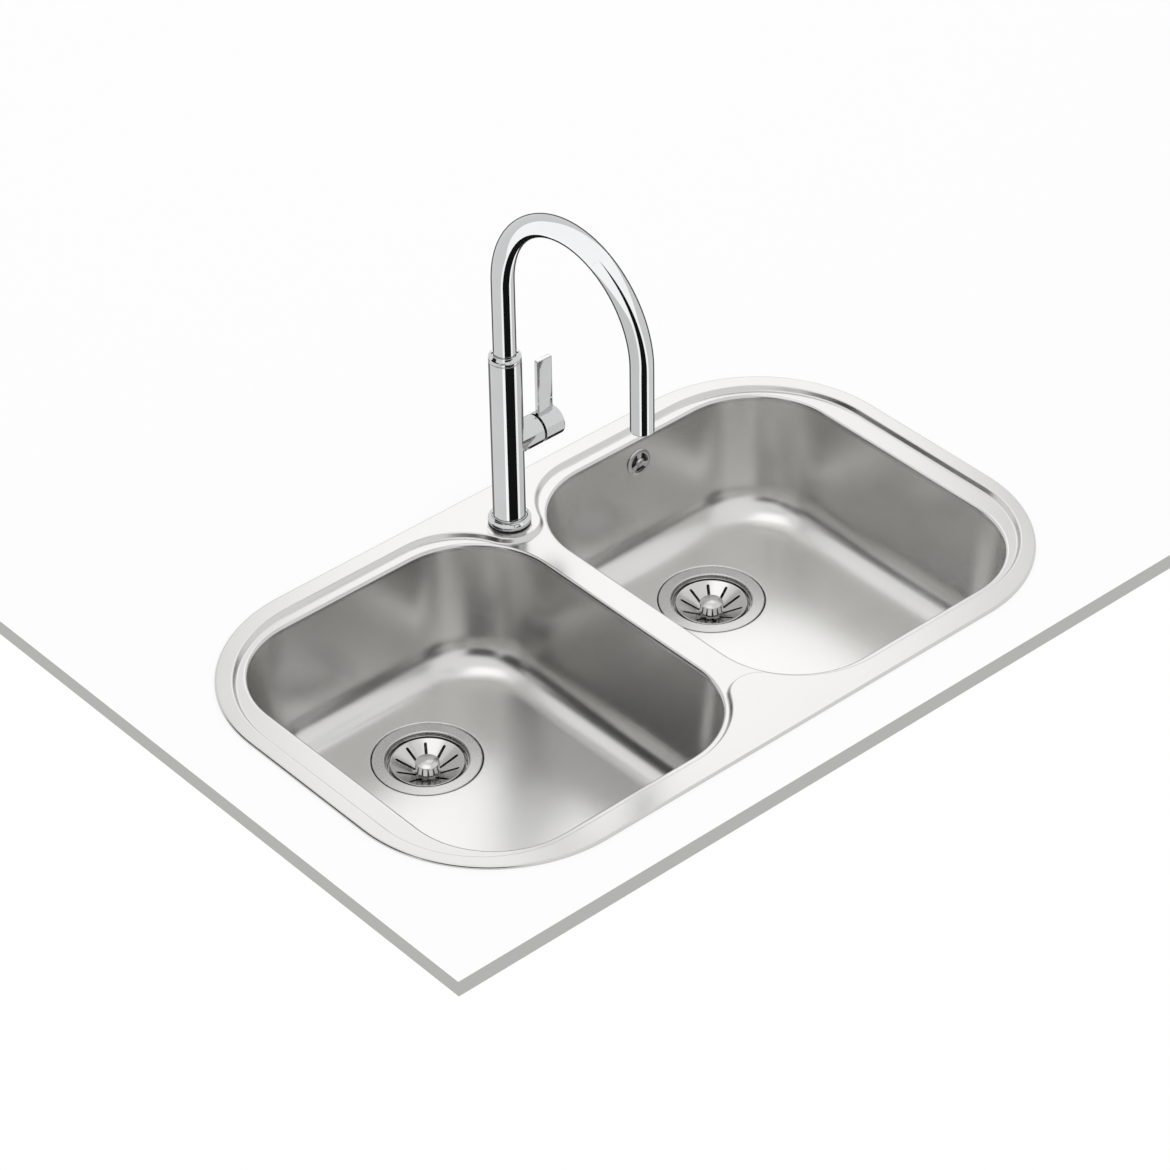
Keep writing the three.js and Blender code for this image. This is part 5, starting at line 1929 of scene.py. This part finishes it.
    def turns(self, first: float, last: float, glow: float = GLOW) -> list[float]:
        """The edges of the bands across a tube.

        Args:
            first: Where the dark stripe starts, in degrees.
            last: Where the dark stripe ends.
            glow: How wide the bright bands beside it are.

        Returns:
            The turns: an outline, a light band, a bright one, the stripe, and the same back again.
        """
        shoulder, inside = self.shoulder, self.shoulder - 1.0
        first, last = min(first, shoulder), min(last, self.stripe_end)
        before, after = max(first - glow, -inside), min(last + glow, max(last, inside))
        return [-self.edge, -shoulder, before, first, last, after, max(after, shoulder), self.edge]

    def upright(self, height: float, x: float = 0.0) -> Vector:
        """A point of the tap's axis at a height, or beside it along X."""
        return Vector((0.0, self.plan.tap_y, 0.0)) + height * Z_AXIS + x * X_AXIS

    def bend(self, angle: float, first: float, last: float, glow: float) -> list[list[Touch]]:
        """The touches of every band across the spout's arch.

        Args:
            angle: Degrees of the arch from the riser.
            first: Where the dark stripe starts.
            last: Where the dark stripe ends.
            glow: How wide the bright bands beside it are.

        Returns:
            The touches, band by band.
        """
        tap = self.tap
        turn = Matrix.Rotation(math.radians(angle), 3, "X")
        middle = self.arch_middle + turn @ Vector((0.0, tap.arch_radius, 0.0))
        return self.row(middle, turn @ Z_AXIS, tap.spout_radius, self.turns(first, last, glow))

    @property
    def arch_middle(self) -> Vector:
        """The middle of the spout's arch."""
        return self.upright(0.0) + Vector((0.0, -self.tap.arch_radius, self.tap.arch_centre))

    def riser_row(self, step: int) -> list[list[Touch]]:
        """The touches at a step of the arch's first part, where the stripe moves outwards and thins out.

        Args:
            step: The step, from 1.

        Returns:
            The touches, band by band.
        """
        first, last = self.stripe
        end = min(last + 3.4 * step, self.stripe_end) - 1.7 * max(0, step - 16)
        glow = GLOW + 5.1 * max(0, step - 6)
        return self.bend(self.arch_step * step, first + 3.2 * step, end, glow)

    def outlet_row(self, step: int) -> list[list[Touch]]:
        """The touches at a step of the arch's last part, where a new stripe starts and widens.

        Args:
            step: The step, from 0.

        Returns:
            The touches, band by band.
        """
        angle = self.arch_step * (self.riser_rows + step)
        return self.bend(angle, -1.5 * step, min(3.0, step), max(GLOW, 62.0 - 6 * step))

    def cards(self) -> None:
        """Adds the cards round the tap."""
        tap = self.tap
        stripe = self.turns(*self.stripe)
        for name, low, high in self.column_spans:
            column = [self.row(self.upright(z), Z_AXIS, tap.column_radius, stripe) for z in (low, high)]
            self.card(name, column, self.column_greys)
        heights = (tap.collar_top + self.card_margin, tap.arch_centre)
        riser = [self.row(self.upright(z), Z_AXIS, tap.spout_radius, stripe) for z in heights]
        riser += [self.riser_row(step) for step in range(1, self.riser_rows + 1)]
        self.card("riser_card", riser, self.tube_greys)
        outlet = [self.outlet_row(step) for step in range(self.outlet_rows)]
        drop = tap.outlet - tap.arch_centre + self.card_margin
        end = self.arch_middle + Vector((0.0, -tap.arch_radius, drop))
        outlet.append(self.row(end, -Z_AXIS, tap.spout_radius, self.turns(-24.0, 3.0)))
        self.card("outlet_card", outlet, self.tube_greys)
        boss = [
            self.row(self.upright(tap.boss_height, x), X_AXIS, tap.boss_radius, self.boss_turns)
            for x in (tap.column_radius + self.card_margin, tap.boss_reach, tap.hub_end)
        ]
        self.card("boss_card", boss, self.boss_greys)
        face = Vector((0.0, -tap.lever_thickness / 2, 0.0))
        sides = (tap.hub_start - self.blade_margin, tap.hub_start + tap.lever_width + self.blade_margin)
        boss_top = tap.boss_height + tap.boss_radius
        heights = (boss_top - self.blade_overlap, tap.lever_top + self.blade_margin)
        blade = [[[(self.upright(z, x) + face, -Y_AXIS) for x in sides]] for z in heights]
        self.card("blade_card", blade, (self.blade_grey,))

    def build(self) -> None:
        """Sets everything up round the sink."""
        self.camera()
        self.worktop()
        self.light()
        for board in self.boards:
            self.mirrored_only(board.form(), board.name, board.grey, self.board_range)
        self.cards()


# ---------------------------------------------------------------- the CAD nodes that stay


def both(*names: str) -> tuple[str, ...]:
    """Names of pieces that stand under the left and the right bowl."""
    return tuple(f"{side.word}_{name}" for name in names for side in Side)


def clips(part: str) -> tuple[str, ...]:
    """Names of a part of the four clips, two to each rail."""
    return tuple(f"{rail}_clip_{part}_{number}" for rail in ("back", "front") for number in (1, 2))


KEPT = {
    Finishes.ZINC: (
        "tap_support_plate",
        "back_clip_rail",
        "front_clip_rail",
        *clips("bracket"),
        *clips("screw"),
        "clamp_plate",
        "clamp_stud",
        "cartridge_stem",
        "lever_grub_screw",
    ),
    Finishes.BRIGHT: (*both("waste_screw"), "overflow_screw"),
    Finishes.CHROME: ("aerator_housing",),
    Finishes.BRASS: ("clamp_nut", "cartridge_nut"),
    Finishes.RUBBER: (
        *both("sound_pad"),
        "tap_base_seal",
        "clamp_rubber_washer",
        "spout_seal",
        *both("cup_gasket", "strainer_seal"),
    ),
    Finishes.FOAM: ("rim_gasket",),
    Finishes.WHITE: (
        "spout_bush",
        "cartridge_guide",
        *both("waste_body", "slip_nut", "branch_pipe"),
        "waste_tee",
    ),
    Finishes.GREY: ("cartridge_body", "aerator_insert", "overflow_housing", "overflow_pipe"),
}


def main() -> None:
    """Builds every sub-assembly round the frame."""
    logging.basicConfig(level=logging.INFO, format="%(name)s: %(message)s")
    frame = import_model()
    plan = SinkPlan()
    dresser = Dresser()
    tap = Tap(plan)
    Studio(plan, tap).build()
    dresser.dress(Deck(plan).build(), Finishes.DECK, Body.SINK, "sink_deck")
    for side in Side:
        bowl = Bowl(plan, side)
        dresser.dress(bowl.build(), Finishes.BOWL, Body.SINK, f"{side.word}_bowl")
        Strainer(plan, side).build(dresser)
    tap.build(dresser)
    Overflow(Bowl(plan, Side.RIGHT)).build(dresser)
    for finish, names in KEPT.items():
        for name in names:
            dresser.keep(frame["nodes"][name], finish)


if __name__ == "__main__":
    main()
